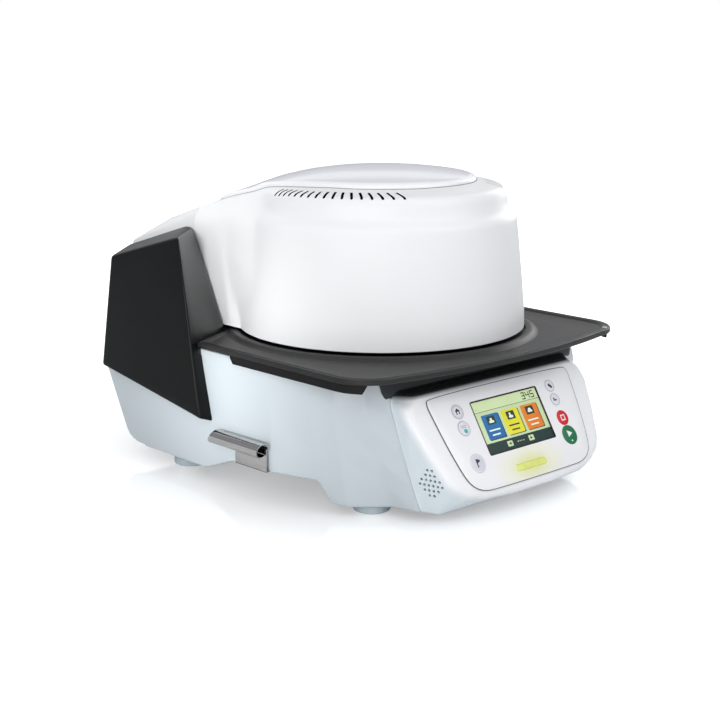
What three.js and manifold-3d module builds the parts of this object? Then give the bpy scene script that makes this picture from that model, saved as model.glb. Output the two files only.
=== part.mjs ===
// Dental lab furnace: a tilting furnace head on a low base with a control panel and a cooling plate.
// Millimetres, +X right, -Y front, +Z up, floor at Z = 0. The drum of the head stands on X = 0, Y = 0.
import * as THREE from "three";
import Module from "manifold-3d";
import { ConvexGeometry } from "three/addons/geometries/ConvexGeometry.js";
import { mergeVertices } from "three/addons/utils/BufferGeometryUtils.js";

const wasm = await Module();
wasm.setup();

// General clearances and walls
const gap = 0.3;
const looseGap = 0.6;
const overrun = 6;
const shellWall = 3;
const sheet = 2;
const roundSides = 32;
const smallSides = 16;
const headSides = 56;

// Main heights: the base above the floor, and what stands on its deck above or below that deck
const baseBottom = 15;
const raisedEdgeHeight = 31;
const frontLipHeight = 9;
const deckHeight = 136;
const plateRise = 8.3;
const hoodGap = 4.4;
const hoodHeight = 159.3;
const plateTop = deckHeight + plateRise;
const hoodBottom = plateTop + hoodGap;
const headTop = hoodBottom + hoodHeight;

// Base housing plan
const baseHalfWidth = 178.6;
const sideStraightFront = 18;
const creaseFrontTop = -132;
const creaseFrontBottom = -137;
const creaseHalfTop = 149;
const creaseHalfBottom = 118;
const seamFrontTop = -137;
const seamFrontBottom = -166;
const seamHalfTop = 130;
const seamHalfBottom = 112;
const shoulderDrop = 27;
const shoulderInset = 4;
const rearFootY = 207;
const rearTopY = 264;
const rearFootHeight = 28;
const rearCornerLow = 8;
const rearCornerDeck = 57;
const rearUndersideY = 163;
const footingEndY = 67;
const raisedStartY = 25;
const raisedEndY = -80;
const frontBlockY = -92;
const upstandRise = 67;

// Head hinge
const hingeY = 160;
const hingeRise = 69;
const pinRadius = 6;
const pinClearance = 0.08;
const bracketThickness = 6;
const bracketHalf = 20;
const pinOverhang = 4;
const armFootY = 100;
const armEyeRadius = 16;
const hingeZ = deckHeight + hingeRise;

// Head: drum profile, arm and rear cover
const drumRadius = 145.2;
const armHalfWidth = 125.8;
const armFrontY = 40;
const seamY = 146;
const coverMidY = 205;
const coverEndY = 258;
const coverBottomY = 246;
const coverLift = 1.3;

// Cap on the head
const capFrontY = -94.5;
const capHalfWidth = 103;
const capRearHalf = 99;
const capRearY = 142;
const capWidestY = 40;
const capRise = 3.2;
const slotCount = 17;
const slotWidth = 2.2;
const slotLength = 19.5;
const slotRadius = 110;
const slotPitch = 4.5;
const slotFrontAngle = 55.6;
const slotSkew = 18.5;

// Heating chamber
const chamberRadius = 45;
const muffleWall = 4;
const muffleHeight = 96;
const insulationRadius = 76;
const insulationTopThickness = 24;
const tableRadius = 34;
const tableRise = 10.3;
const tableDish = 1;
const pedestalRadius = 56;
const pedestalSink = 24;
const flangeOuter = 72;
const flangeProud = 0.4;
const sealInner = 60;
const sealOuter = 68;
const thermoRadius = 3;
const thermoRoom = 7.7;
const thermoReach = 15.5;

// Cooling plate and its frame
const plateOverhang = 6.4;
const plateHalfWidth = baseHalfWidth + plateOverhang;
const plateFrontMiddle = -187.3;
const plateFrontSide = -171;
const plateCorner = 42;
const plateSideRearY = 67;
const plateInnerRearY = 93;
const plateTailY = 104;
const plateEdge = 4.5;
const plateEdgeBand = 9;
const plateSink = 1.8;
const frameInset = 3;
const frameDrop = 7;
const frameWall = 3;
const frameRearY = 20;
const frameNotch = 6;

// Cheek covers beside the hinge
const cheekProud = 14.9;
const cheekClearance = 1.9;
const cheekOuterX = baseHalfWidth + cheekProud;
const cheekInnerX = armHalfWidth + cheekClearance;
const creaseTopY = 82.5;
const creaseBottomY = 55.5;
const cheekRearTopY = 198;
const cheekRearBottomY = 222;
const cheekTipY = 51.4;
const cheekInnerRearY = 260;
const cheekRise = 111;
const cheekRearRise = 79;
const cheekInnerRearRise = 77;
const cheekRearDrop = 40.2;
const cheekSideDrop = 65.7;
const cheekTipDrop = 75;
const cheekRearBottomZ = deckHeight - cheekRearDrop;

// Control panel, measured on its sloping face
const panelTilt = 58.18;
const panelOriginY = -208.8;
const panelOriginZ = 32.6;
const faceTop = 106;
const faceEdgeRound = 4;
const faceWideHalf = 126;
const faceBottom = -10.5;
const panelBottomY = -188;
const panelWall = 2.5;
const panelCutBack = 12;
const overlayThickness = 0.8;
const overlayTop = 95.3;
const overlayHalf = 100;
const overlayBottom = -2;
const displayHalfWidth = 47.4;
const displayHalfHeight = 27;
const displayCentre = 55.4;
const lightHalfWidth = 21;
const lightHalfHeight = 3.35;
const lightCentre = 10.4;
const keyColumn = 66.6;
const keyProud = 0.5;
const keyDepth = 5;
const faceCutDepth = 10;
const boardThickness = 1.6;
const boardHalfWidth = 92;
const boardLow = 8;
const boardHigh = 84;

// Keys: name, side of the display, height on the face and radius
const homeKeyHeight = 76.4;
const homeKeyRadius = 7.3;
const modeKeyHeight = 59.8;
const modeKeyRadius = 7.5;
const programKeyHeight = 25.2;
const programKeyRadius = 9.2;
const toolKeyHeight = 78.8;
const toolKeyRadius = 6.3;
const tableKeyHeight = 64.2;
const tableKeyRadius = 6.3;
const stopKeyHeight = 45;
const stopKeyRadius = 7;
const startKeyHeight = 26.8;
const startKeyRadius = 9.9;

// Speaker behind the left side of the panel
const speakerX = -113.5;
const speakerY = -180.8;
const speakerZ = 41.5;
const speakerTurn = 15.5;
const speakerLean = 9.3;
const speakerRadius = 14;
const speakerDepth = 9;
const grilleHoleRadius = 0.9;
const grillePitch = 4.1;
const grilleRise = 3.9;
const grilleSides = 8;

// Feet, tong holder and rear fittings
const footRadius = 18;
const footPadHeight = 15;
const footBossRadius = 11;
const footFrontInset = 3;
const footFrontY = -106;
const footRearInset = 32.6;
const footRearY = 133;
const tongRadius = 7.25;
const tongWall = 0.9;
const tongRearY = 46.8;
const tongFrontY = -25.2;
const tongZ = 51.7;
const tongTabFrontY = -22;
const tongTabRearY = 20;
const tongLip = 12;
const tongSlit = 6.1;
const tongSides = 16;
const bayHalf = 112;
const bayBottom = 36;
const bayTop = 90;
const bayPanelY = 205;
const bayMiddleZ = 62;
const inletX = -86;
const inletHalfWidth = 14;
const inletHalfHeight = 12;
const inletDepth = 22;
const switchX = -54;
const switchHalfWidth = 7;
const switchHalfHeight = 11;
const switchFrameWall = 2;
const switchFrameDepth = 16;
const switchTilt = 6;
const switchPivotDepth = 5;
const rockerHalfHeight = 10;
const fuseX = -28;
const fuseRadius = 7;
const fuseLength = 24;
const fuseInside = 18;
const hoseX = 4;
const hoseRadius = 5;
const hoseBore = 3;
const hoseLength = 24;
const hoseCollarRadius = 8.5;
const portX = 30;
const portHalfWidth = 7;
const portHalfHeight = 6;
const portDepth = 14;
const fanX = 78;
const fanHalf = 20;
const fanBore = 18;
const fanDepth = 12;
const fanHubRadius = 7;
const fanBladeLength = 9.5;
const fanBladeCount = 7;
const fanShaftRadius = 2;
const fanArmWidth = 3;
const fanBladeThickness = 1.2;
const fanBladePitch = 35;
const fanBladeShare = 0.8;
const fanArmCount = 3;
const fanSlotCount = 5;
const fanSlotHeight = 3;
const fanSlotHalf = 15;
const fanSlotReach = 12;
const transformerX = -70;
const transformerY = 60;
const transformerRadius = 34;
const transformerBore = 12;
const transformerHeight = 42;
const powerBoardX = 70;
const powerBoardY = 30;
const powerBoardHalf = 42;
const powerBoardRise = 6;
const heatSinkHeight = 26;
const motorRadius = 17;
const motorRoom = 15.5;

const white = [0xf6f7f8, 0.25, 0];
const capGrey = [0xd9d7e2, 0.3, 0];
const iceWhite = [0xdfe9ee, 0.35, 0];
const black = [0x1b1d1e, 0.5, 0];
const rubber = [0x4a4f52, 0.8, 0];
const steel = [0xb9bcbf, 0.25, 1];
const ceramic = [0xe9e4da, 0.9, 0];
const board = [0x1f6b45, 0.6, 0];
const stopRed = [0xc8202c, 0.4, 0];
const startGreen = [0x1f7a45, 0.4, 0];
const lightYellow = [0xe6ec8a, 0.3, 0];
const finishOf = ([color, roughness, metalness]) =>
  new THREE.MeshStandardMaterial({ color, roughness, metalness });

const root = new THREE.Group();
const deg = THREE.MathUtils.degToRad;

// Solid and mesh conversions
function solid(geometry) {
  const bare = geometry.clone();
  bare.deleteAttribute("normal");
  if (bare.getAttribute("uv")) bare.deleteAttribute("uv");
  const merged = mergeVertices(bare, 1e-4);
  const vertProperties = new Float32Array(merged.getAttribute("position").array);
  const triVerts = new Uint32Array(merged.getIndex().array);
  return new wasm.Manifold(new wasm.Mesh({ numProp: 3, vertProperties, triVerts }));
}

function geometryOf(manifold) {
  const { numProp, vertProperties, triVerts } = manifold.getMesh();
  const corners = new Float32Array((vertProperties.length / numProp) * 3);
  for (let i = 0; i < corners.length / 3; i++)
    corners.set(vertProperties.subarray(i * numProp, i * numProp + 3), i * 3);
  const geometry = new THREE.BufferGeometry();
  geometry.setAttribute("position", new THREE.BufferAttribute(corners, 3));
  geometry.setIndex(new THREE.BufferAttribute(new Uint32Array(triVerts), 1));
  return geometry;
}

function add(name, shape, finish, parent = root) {
  const geometry = shape.isBufferGeometry ? shape : geometryOf(shape);
  const mesh = new THREE.Mesh(geometry, finishOf(finish));
  mesh.name = name;
  parent.add(mesh);
  return mesh;
}

// Shape helpers: boxes by their corners, cylinders along an axis, prisms and lofts
function box(x0, x1, y0, y1, z0, z1) {
  const geometry = new THREE.BoxGeometry(x1 - x0, y1 - y0, z1 - z0);
  geometry.translate((x0 + x1) / 2, (y0 + y1) / 2, (z0 + z1) / 2);
  return solid(geometry);
}

function rod(axis, radius, from, to, a, b, sides = roundSides) {
  const geometry = new THREE.CylinderGeometry(radius, radius, to - from, sides);
  const middle = (from + to) / 2;
  if (axis === "z") geometry.rotateX(Math.PI / 2).translate(a, b, middle);
  if (axis === "x") geometry.rotateZ(-Math.PI / 2).translate(middle, a, b);
  if (axis === "y") geometry.translate(a, middle, b);
  return solid(geometry);
}

function lathe(profile, sides = roundSides) {
  const points = profile.map(([r, z]) => new THREE.Vector2(r, z));
  const geometry = new THREE.LatheGeometry(points, sides);
  geometry.rotateX(Math.PI / 2);
  return solid(geometry);
}

function prism(outline, z0, z1) {
  const shape = new THREE.Shape(outline.map(([x, y]) => new THREE.Vector2(x, y)));
  const geometry = new THREE.ExtrudeGeometry(shape, { depth: z1 - z0, bevelEnabled: false });
  geometry.translate(0, 0, z0);
  return solid(geometry);
}

// A prism along X whose outline is given as [y, z] points
function sidePrism(outline, x0, x1) {
  const turned = prism(outline, x0, x1);
  const turn = new THREE.Matrix4().makeBasis(
    new THREE.Vector3(0, 1, 0),
    new THREE.Vector3(0, 0, 1),
    new THREE.Vector3(1, 0, 0),
  );
  return solid(geometryOf(turned).applyMatrix4(turn));
}

// The same along Y, for outlines given as [x, z] points
function frontPrism(outline, y0, y1) {
  const turned = prism(outline, -y1, -y0);
  return solid(geometryOf(turned).rotateX(Math.PI / 2));
}

function hull(points) {
  return solid(new ConvexGeometry(points.map(([x, y, z]) => new THREE.Vector3(x, y, z))));
}

// Rings of [x, y, z] points with equal counts, listed from bottom to top
function loft(rings) {
  const count = rings[0].length;
  const corners = rings.flat(2);
  const index = [];
  for (let level = 0; level + 1 < rings.length; level++)
    for (let i = 0; i < count; i++) {
      const a = level * count + i;
      const b = level * count + ((i + 1) % count);
      index.push(a, b, b + count, a, b + count, a + count);
    }
  const flat = (ring) => ring.map(([x, y]) => new THREE.Vector2(x, y));
  const top = (rings.length - 1) * count;
  for (const [a, b, c] of THREE.ShapeUtils.triangulateShape(flat(rings[0]), [])) index.push(a, c, b);
  for (const [a, b, c] of THREE.ShapeUtils.triangulateShape(flat(rings.at(-1)), []))
    index.push(top + a, top + b, top + c);
  const geometry = new THREE.BufferGeometry();
  geometry.setAttribute("position", new THREE.Float32BufferAttribute(corners, 3));
  geometry.setIndex(index);
  return solid(geometry);
}

const mirrorX = (half) => [...half, ...half.map(([x, ...rest]) => [-x, ...rest]).reverse()];
const mix = (a, b, share) => a + (b - a) * share;

// Base housing outline at one height: the right half from rear to front, then mirrored
const creaseTopZ = deckHeight - shoulderDrop;
const sideRunShares = [0.33, 0.65, 0.825];
const sideLowShares = [0.08, 0.36, 0.5];
const sideHighShares = [0.04, 0.26, 0.53];
const quarterShares = [0, 0.25, 0.5, 0.75, 1];
const rearAt = (z) => mix(rearFootY, rearTopY, (z - rearFootHeight) / (deckHeight - rearFootHeight));

function baseRing(z, inset) {
  const share = Math.min(1, (z - frontLipHeight) / (creaseTopZ - frontLipHeight));
  const shoulder = Math.max(0, (z - creaseTopZ) / shoulderDrop) * shoulderInset;
  const seamShare = (z - frontLipHeight) / (deckHeight - frontLipHeight);
  const back = rearAt(z) - inset;
  const wide = baseHalfWidth - inset;
  const creaseHalf = mix(creaseHalfBottom, creaseHalfTop, share) - inset - shoulder;
  const creaseY = mix(creaseFrontBottom, creaseFrontTop, share) + inset + shoulder;
  const seamHalf = mix(seamHalfBottom, seamHalfTop, seamShare) - inset;
  const seamFront = mix(seamFrontBottom, seamFrontTop, seamShare) + inset;
  const side = sideRunShares.map((run, i) => {
    const drawn = mix(sideLowShares[i], sideHighShares[i], share);
    return [mix(wide, creaseHalf, drawn) - (shoulder * run) / 2, mix(sideStraightFront, creaseY, run)];
  });
  const growth = Math.max(0, (z - cheekRearBottomZ) / (deckHeight - cheekRearBottomZ));
  const round = mix(rearCornerLow, rearCornerDeck, growth);
  const corner = quarterShares.map((turn) => {
    const angle = (turn * Math.PI) / 2;
    return [wide - round + round * Math.sin(angle), back - round + round * Math.cos(angle)];
  });
  const half = [
    ...corner,
    [wide, sideStraightFront],
    ...side,
    [creaseHalf, creaseY],
    [seamHalf, seamFront],
  ];
  return mirrorX(half).reverse().map(([x, y]) => [x, y, z]);
}

const baseLevels = [frontLipHeight, raisedEdgeHeight, cheekRearBottomZ, creaseTopZ, deckHeight];
const baseOuter = loft(baseLevels.map((z) => baseRing(z, 0)));
const innerLevels = [frontLipHeight - overrun, ...baseLevels.slice(1, -1), deckHeight - shellWall];
const baseInner = loft(innerLevels.map((z) => baseRing(z, shellWall)));
const underShares = [0.4, 0.75];
const underside = sidePrism(
  [
    [rearTopY + overrun, -overrun],
    [rearTopY + overrun, rearFootHeight],
    [rearFootY, rearFootHeight],
    [mix(rearFootY, rearUndersideY, underShares[0]), mix(rearFootHeight, baseBottom, underShares[1])],
    [rearUndersideY, baseBottom],
    [footingEndY, baseBottom],
    [raisedStartY, raisedEdgeHeight],
    [raisedEndY, raisedEdgeHeight],
    [frontBlockY, frontLipHeight],
    [frontBlockY, -overrun],
  ],
  -baseHalfWidth - overrun,
  baseHalfWidth + overrun,
);

// Base housing: shell with a well for the tail of the head, a pedestal hole and a connector bay
const wellFrontY = plateTailY + shellWall;
const wellHalf = cheekInnerX - gap;
const deckCutLow = deckHeight - shellWall - overrun;
const deckCutHigh = deckHeight + overrun;
const upstandY = rearTopY - shellWall;
const upstandHeight = deckHeight + upstandRise;
const wellRearY = rearAt(deckCutLow) - shellWall;
const bracketInner = cheekInnerX + shellWall + sheet;
const bracketOuter = bracketInner + bracketThickness;
const ordered = (a, b) => [Math.min(a, b), Math.max(a, b)];
function baseHousing() {
  let shell = baseOuter.subtract(baseInner).subtract(underside);
  shell = shell.subtract(box(-wellHalf, wellHalf, wellFrontY, wellRearY, deckCutLow, deckCutHigh));
  shell = shell.subtract(rod("z", pedestalRadius + gap, deckCutLow, deckCutHigh, 0, 0));
  const upstandHalf = wellHalf - gap;
  const upstandLow = deckHeight - shellWall;
  shell = shell.add(box(-upstandHalf, upstandHalf, upstandY, rearTopY, upstandLow, upstandHeight));
  shell = shell.subtract(box(-bayHalf, bayHalf, bayPanelY, rearTopY, bayBottom, bayTop));
  for (const side of [-1, 1]) {
    const across = ordered(side * (bracketInner - gap), side * (bracketOuter + gap));
    const along = [hingeY - bracketHalf - gap, hingeY + bracketHalf + gap];
    shell = shell.subtract(box(...across, ...along, deckCutLow, deckCutHigh));
  }
  return shell;
}
add("base_housing", baseHousing(), iceWhite);

// Bottom plate and feet
const floorBottom = raisedEdgeHeight + sheet;
const floorTop = floorBottom + sheet;
const floorReach = baseHalfWidth + rearTopY;
const floorSlab = box(-floorReach, floorReach, -floorReach, floorReach, floorBottom, floorTop);
const floorForm = loft(innerLevels.map((z) => baseRing(z, shellWall + gap)));
add("bottom_plate", floorForm.intersect(floorSlab), steel);
const feet = { front_left: [-1, -1], front_right: [1, -1], rear_left: [-1, 1], rear_right: [1, 1] };
for (const [place, [sideX, sideY]] of Object.entries(feet)) {
  const profile = [
    [0, 0],
    [footRadius - sheet, 0],
    [footRadius, sheet],
    [footRadius, footPadHeight],
    [footBossRadius, footPadHeight],
    [footBossRadius, floorBottom - gap],
    [0, floorBottom - gap],
  ];
  const mesh = add("foot_" + place, lathe(profile, smallSides), rubber);
  const footX = sideY < 0 ? creaseHalfBottom - footFrontInset : baseHalfWidth - footRearInset;
  mesh.position.set(sideX * footX, sideY < 0 ? footFrontY : footRearY, 0);
}

// Cooling plate: rim, sunk middle, hole for the pedestal, and the frame hanging below its edge
const frontEdgeShares = [0, 0.25, 0.5, 0.75];
function plateOutline(inset) {
  const wide = plateHalfWidth - inset;
  const corner = Math.max(plateCorner - inset, gap);
  const bulge = plateFrontMiddle - plateFrontSide;
  const half = [];
  for (const share of frontEdgeShares)
    half.push([share * (wide - corner), plateFrontSide + bulge * (1 - share * share) + inset]);
  for (const share of quarterShares) {
    const angle = (share * Math.PI) / 2;
    const x = wide - corner + corner * Math.sin(angle);
    half.push([x, plateFrontSide + inset + corner - corner * Math.cos(angle)]);
  }
  half.push([wide, plateSideRearY - inset / 2]);
  half.push([cheekInnerX + gap, plateInnerRearY - inset / 2]);
  half.push([armHalfWidth - inset, plateInnerRearY + gap]);
  half.push([armHalfWidth - inset, plateTailY - inset]);
  const left = half.slice(1).map(([x, y]) => [-x, y]).reverse();
  return [...half, ...left];
}
const plateBottom = deckHeight + gap;
const plateRimBottom = plateTop - plateEdge;
const plateFloor = plateTop - plateSink;
function supportPlate() {
  let plate = prism(plateOutline(0), plateRimBottom, plateTop);
  plate = plate.add(prism(plateOutline(plateEdgeBand + frameInset), plateBottom, plateFloor));
  plate = plate.subtract(prism(plateOutline(plateEdgeBand), plateFloor, plateTop + overrun));
  return plate.subtract(rod("z", pedestalRadius + gap, plateBottom - overrun, plateTop + overrun, 0, 0));
}
add("support_plate", supportPlate(), black);

function plateFrame() {
  const top = plateRimBottom - gap;
  const bottom = top - frameDrop;
  const outer = prism(plateOutline(frameInset), bottom, top);
  const inner = prism(plateOutline(frameInset + frameWall), bottom - overrun, top + overrun);
  const half = plateHalfWidth + overrun;
  const notch = [
    [frameRearY - frameNotch, bottom - overrun],
    [frameRearY - frameNotch, bottom],
    [frameRearY, top],
    [frameRearY, top + overrun],
    [rearTopY, top + overrun],
    [rearTopY, bottom - overrun],
  ];
  return outer.subtract(inner).subtract(sidePrism(notch, -half, half));
}
add("plate_frame", plateFrame(), black);

// Cheek covers: a twisted block beside the hinge, hollow, open below and cut to fit the base
function cheekBlock(inset, drop) {
  const outer = cheekOuterX - inset;
  const inner = cheekInnerX + inset;
  return hull([
    [outer, creaseTopY + inset, deckHeight + cheekRise - inset],
    [outer, cheekRearTopY - inset, deckHeight + cheekRearRise - inset],
    [outer, cheekRearBottomY - inset, cheekRearBottomZ - drop],
    [outer, creaseBottomY + inset, deckHeight - cheekSideDrop - drop],
    [inner, seamY + inset, deckHeight + cheekRise - inset],
    [inner, cheekInnerRearY - inset, deckHeight + cheekInnerRearRise - inset],
    [inner, cheekInnerRearY - inset, deckHeight + gap - drop],
    [inner, cheekTipY + inset, deckHeight - cheekTipDrop - drop],
  ]);
}
const envelopeLevels = [-overrun, ...baseLevels.slice(1, -1), deckHeight + gap];
const baseEnvelope = loft(envelopeLevels.map((z) => baseRing(z, -gap)));
const axleHole = [cheekInnerX - overrun, cheekInnerX + shellWall + overrun, hingeY, hingeZ];
const cheekRight = cheekBlock(0, 0)
  .subtract(cheekBlock(shellWall, overrun))
  .subtract(baseEnvelope)
  .subtract(prism(plateOutline(-gap), deckHeight - overrun, plateTop + gap))
  .subtract(rod("x", pinRadius + sheet, ...axleHole));
add("cheek_cover_right", cheekRight, black);
add("cheek_cover_left", cheekRight.mirror([1, 0, 0]), black);

// Hinge brackets, pin and lift motor
function hingeBracket(side) {
  const x = ordered(side * bracketInner, side * bracketOuter);
  const web = box(...x, hingeY - bracketHalf, hingeY + bracketHalf, floorTop + gap, hingeZ);
  const eye = rod("x", bracketHalf, ...x, hingeY, hingeZ);
  const bore = rod("x", pinRadius + pinClearance, x[0] - overrun, x[1] + overrun, hingeY, hingeZ);
  return web.add(eye).subtract(bore);
}
add("hinge_bracket_left", hingeBracket(-1), steel);
add("hinge_bracket_right", hingeBracket(1), steel);
const pinEnd = bracketOuter + pinOverhang;
add("hinge_pin", rod("x", pinRadius, -pinEnd, pinEnd, hingeY, hingeZ), steel);
const motorStart = bracketOuter + gap;
const motorEnd = cheekOuterX - shellWall - motorRoom;
const motorBody = rod("x", motorRadius, motorStart, motorEnd, hingeY, hingeZ, smallSides);
const motorPocket = rod("x", pinRadius + gap, motorStart - overrun, pinEnd + gap, hingeY, hingeZ);
add("lift_motor", motorBody.subtract(motorPocket), steel);

// Head: one outer form shared by hood and cap, and the rear cover that goes on from it
const edgeShare = 0.06;
const spineWidthShares = [0.8, 0.55, 0];
const domeTop = headTop - capRise - gap;
const tall = domeTop - hoodBottom;
const drumShares = [
  [1, 0.012], [0.994, 0.12], [0.982, 0.266], [0.952, 0.524], [0.925, 0.702], [0.893, 0.758],
  [0.862, 0.792], [0.837, 0.848], [0.797, 0.894], [0.689, 0.924], [0.605, 0.9455], [0.413, 0.974],
  [0.207, 0.993], [0, 1],
];

// Heights of the arm and cover across their width, from the side edge to the middle
const frontShares = [0.791, 0.909, 0.938, 0.973];
const shoulderShares = [0.779, 0.872, 0.915, 0.962];
const backShares = [0.759, 0.818, 0.858, 0.92];
const seamShares = [0.727, 0.75, 0.797, 0.868];
const coverMidShares = [0.586, 0.637, 0.669, 0.7015];
const coverEndShares = [0.438, 0.472, 0.493, 0.515];
const armRunShares = [0.33, 0.67];
function section(y, bottom, heightShares, inset) {
  const half = armHalfWidth - inset;
  const [side, ...spine] = heightShares.map((share) => hoodBottom + share * tall - inset);
  const edge = (side - bottom) * edgeShare;
  const points = [[half, bottom], [half, side - edge], [half - edge, side]];
  spine.forEach((z, i) => points.push([half * spineWidthShares[i], z]));
  return points.flatMap(([x, z]) => [[x, y, z], [-x, y, z]]);
}

function headForm(inset) {
  const foot = hoodBottom - (inset ? overrun : 0);
  const rim = drumShares.map(([r, h], i) => {
    const z = hoodBottom + h * tall;
    return [r ? r * drumRadius - inset : 0, i ? z - inset : z];
  });
  const drum = lathe([[0, foot], [drumRadius - inset - gap, foot], ...rim], headSides);
  const arm = hull([
    ...section(armFrontY, foot, frontShares, inset),
    ...section(mix(armFrontY, seamY, armRunShares[0]), foot, shoulderShares, inset),
    ...section(mix(armFrontY, seamY, armRunShares[1]), foot, backShares, inset),
    ...section(seamY + inset, foot, seamShares, inset),
  ]);
  return drum.add(arm);
}
const headOuter = headForm(0);
const headInner = headForm(shellWall);

// Slots through the top of the hood, one slanting row on each side
const slotLowShare = 0.82;
function ventSlots() {
  const low = mix(hoodBottom, headTop, slotLowShare);
  const cutter = box(-slotLength / 2, slotLength / 2, -slotWidth / 2, slotWidth / 2, low, headTop);
  const right = cutter.rotate([0, 0, -slotSkew]).translate([slotRadius, 0, 0]);
  const rows = [];
  for (let i = 0; i < slotCount; i++) {
    const slot = right.rotate([0, 0, slotPitch * i - slotFrontAngle]);
    rows.push(slot, slot.mirror([1, 0, 0]));
  }
  return rows.reduce((all, slot) => all.add(slot));
}
add("furnace_hood", headOuter.subtract(headInner).subtract(ventSlots()), white);

const capFrontShares = [
  [0, 0], [0.233, 0.022], [0.417, 0.074], [0.621, 0.186],
  [0.796, 0.349], [0.913, 0.572], [0.971, 0.777], [1, 1],
];
const capLowShare = 0.6;
function capOutline() {
  const front = capFrontShares.map(([x, y]) => [x * capHalfWidth, mix(capFrontY, capWidestY, y)]);
  const rear = [
    [capRearHalf, capRearY - overrun],
    [capRearHalf - overrun, capRearY],
  ];
  const half = [...front, ...rear];
  return [...half, ...half.slice(1).map(([x, y]) => [-x, y]).reverse()];
}
const capSolid = prism(capOutline(), mix(hoodBottom, headTop, capLowShare), headTop + overrun)
  .intersect(headOuter.translate([0, 0, capRise + gap]))
  .subtract(headOuter.translate([0, 0, gap]));
add("hood_cap", capSolid, capGrey);

const coverFootShare = 0.477;
function coverForm(inset) {
  const low = hoodBottom + coverLift - (inset ? overrun : 0);
  const front = seamY + gap - (inset ? overrun : 0);
  const endLow = mix(hoodBottom, domeTop, coverEndShares[0]) - overrun;
  const foot = coverEndShares.map((share) => Math.min(share, coverFootShare));
  return hull([
    ...section(front, low, seamShares, inset),
    ...section(coverMidY, low, coverMidShares, inset),
    ...section(coverEndY - inset, endLow, coverEndShares, inset),
    ...section(coverBottomY - inset, low, foot, inset),
  ]);
}
const pinHole = rod("x", pinRadius + gap, -cheekInnerX, cheekInnerX, hingeY, hingeZ);
add("rear_cover", coverForm(0).subtract(coverForm(shellWall)).subtract(pinHole), capGrey);

// Under the head: base plate, arms to the pin, seal, muffle and insulation
const headPlateTop = hoodBottom + sheet;
const headPlateBottom = hoodBottom - sheet + gap;
const muffleOuter = chamberRadius + muffleWall;
function headPlate() {
  const disc = rod("z", drumRadius - shellWall - looseGap, headPlateBottom, headPlateTop, 0, 0, headSides);
  const tail = armHalfWidth - shellWall - gap;
  const plate = disc.add(box(-tail, tail, 0, seamY - shellWall - gap, headPlateBottom, headPlateTop));
  return plate.subtract(rod("z", muffleOuter + gap, headPlateBottom - overrun, headPlateTop + overrun, 0, 0));
}
add("head_base_plate", headPlate(), black);

function ring(inner, outer, z0, z1) {
  return lathe([[inner, z0], [outer, z0], [outer, z1], [inner, z1], [inner, z0]]);
}
const muffleBottom = headPlateTop + gap;
const muffleTop = muffleBottom + muffleHeight;
add("heating_muffle", ring(chamberRadius, muffleOuter, muffleBottom, muffleTop), ceramic);
add("muffle_insulation", ring(muffleOuter + gap, insulationRadius, muffleBottom, muffleTop), ceramic);
const lidBottom = muffleTop + gap;
const lidTop = lidBottom + insulationTopThickness;
add("top_insulation", ring(thermoRadius + gap, insulationRadius, lidBottom, lidTop), ceramic);
const thermoBottom = lidBottom - thermoReach;
const thermoTop = domeTop - shellWall - thermoRoom;
add("thermocouple", rod("z", thermoRadius, thermoBottom, thermoTop, 0, 0, smallSides), ceramic);
const flangeTop = plateTop + flangeProud;
add("sealing_flange", ring(pedestalRadius + gap, flangeOuter, plateFloor + gap, flangeTop), steel);
add("chamber_seal", ring(sealInner, sealOuter, flangeTop + gap, headPlateBottom - gap), rubber);

function headArm(side) {
  const outer = armHalfWidth - shellWall - sheet;
  const x = ordered(side * (outer - bracketThickness), side * outer);
  const foot = [armFootY, seamY - shellWall - looseGap];
  const reach = armEyeRadius / 2;
  const low = foot.map((y) => [y, muffleBottom]);
  const high = [[hingeY - reach, hingeZ + reach], [hingeY + reach, hingeZ - reach]];
  const post = hull([...low, ...high].flatMap(([y, z]) => x.map((across) => [across, y, z])));
  const eye = rod("x", armEyeRadius, ...x, hingeY, hingeZ);
  const bore = rod("x", pinRadius + pinClearance, x[0] - overrun, x[1] + overrun, hingeY, hingeZ);
  return post.add(eye).subtract(bore);
}
add("head_arm_left", headArm(-1), steel);
add("head_arm_right", headArm(1), steel);

// Pedestal and firing table
const pedestalStep = headPlateTop;
const pedestalBottom = deckHeight - pedestalSink;
const tableTop = hoodBottom + tableRise;
const pedestalProfile = [
  [0, pedestalBottom],
  [pedestalRadius, pedestalBottom],
  [pedestalRadius, flangeTop],
  [tableRadius + overrun, flangeTop],
  [tableRadius + overrun, pedestalStep],
  [0, pedestalStep],
];
add("table_pedestal", lathe(pedestalProfile), ceramic);
const tableProfile = [
  [0, pedestalStep + gap],
  [tableRadius, pedestalStep + gap],
  [tableRadius, tableTop],
  [tableRadius - sheet, tableTop],
  [tableRadius - sheet - tableDish, tableTop - tableDish],
  [0, tableTop - tableDish],
];
add("firing_table", lathe(tableProfile), ceramic);

// Control panel: its face slopes, its back lies on the front of the base
const panel = new THREE.Group();
panel.position.set(0, panelOriginY, panelOriginZ);
panel.rotation.x = deg(panelTilt);
panel.updateMatrix();
root.add(panel);
const onPanel = (manifold) => solid(geometryOf(manifold).applyMatrix4(panel.matrix));
const faceOutlineShares = [
  [0.88, 1], [0.985, 0.89], [1, 0.775], [0.944, 0.508], [0.865, 0.235],
  [0.815, 0.157], [0.69, 0.074], [0.52, 0.025], [0.2, 0],
];
function facePoints(inset, depth) {
  const half = faceOutlineShares.map(([u, w]) => {
    const height = mix(faceBottom + inset, faceTop - inset, w);
    return [u * (faceWideHalf - inset), height, depth];
  });
  return mirrorX(half).map((p) => new THREE.Vector3(...p).applyMatrix4(panel.matrix).toArray());
}

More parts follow.
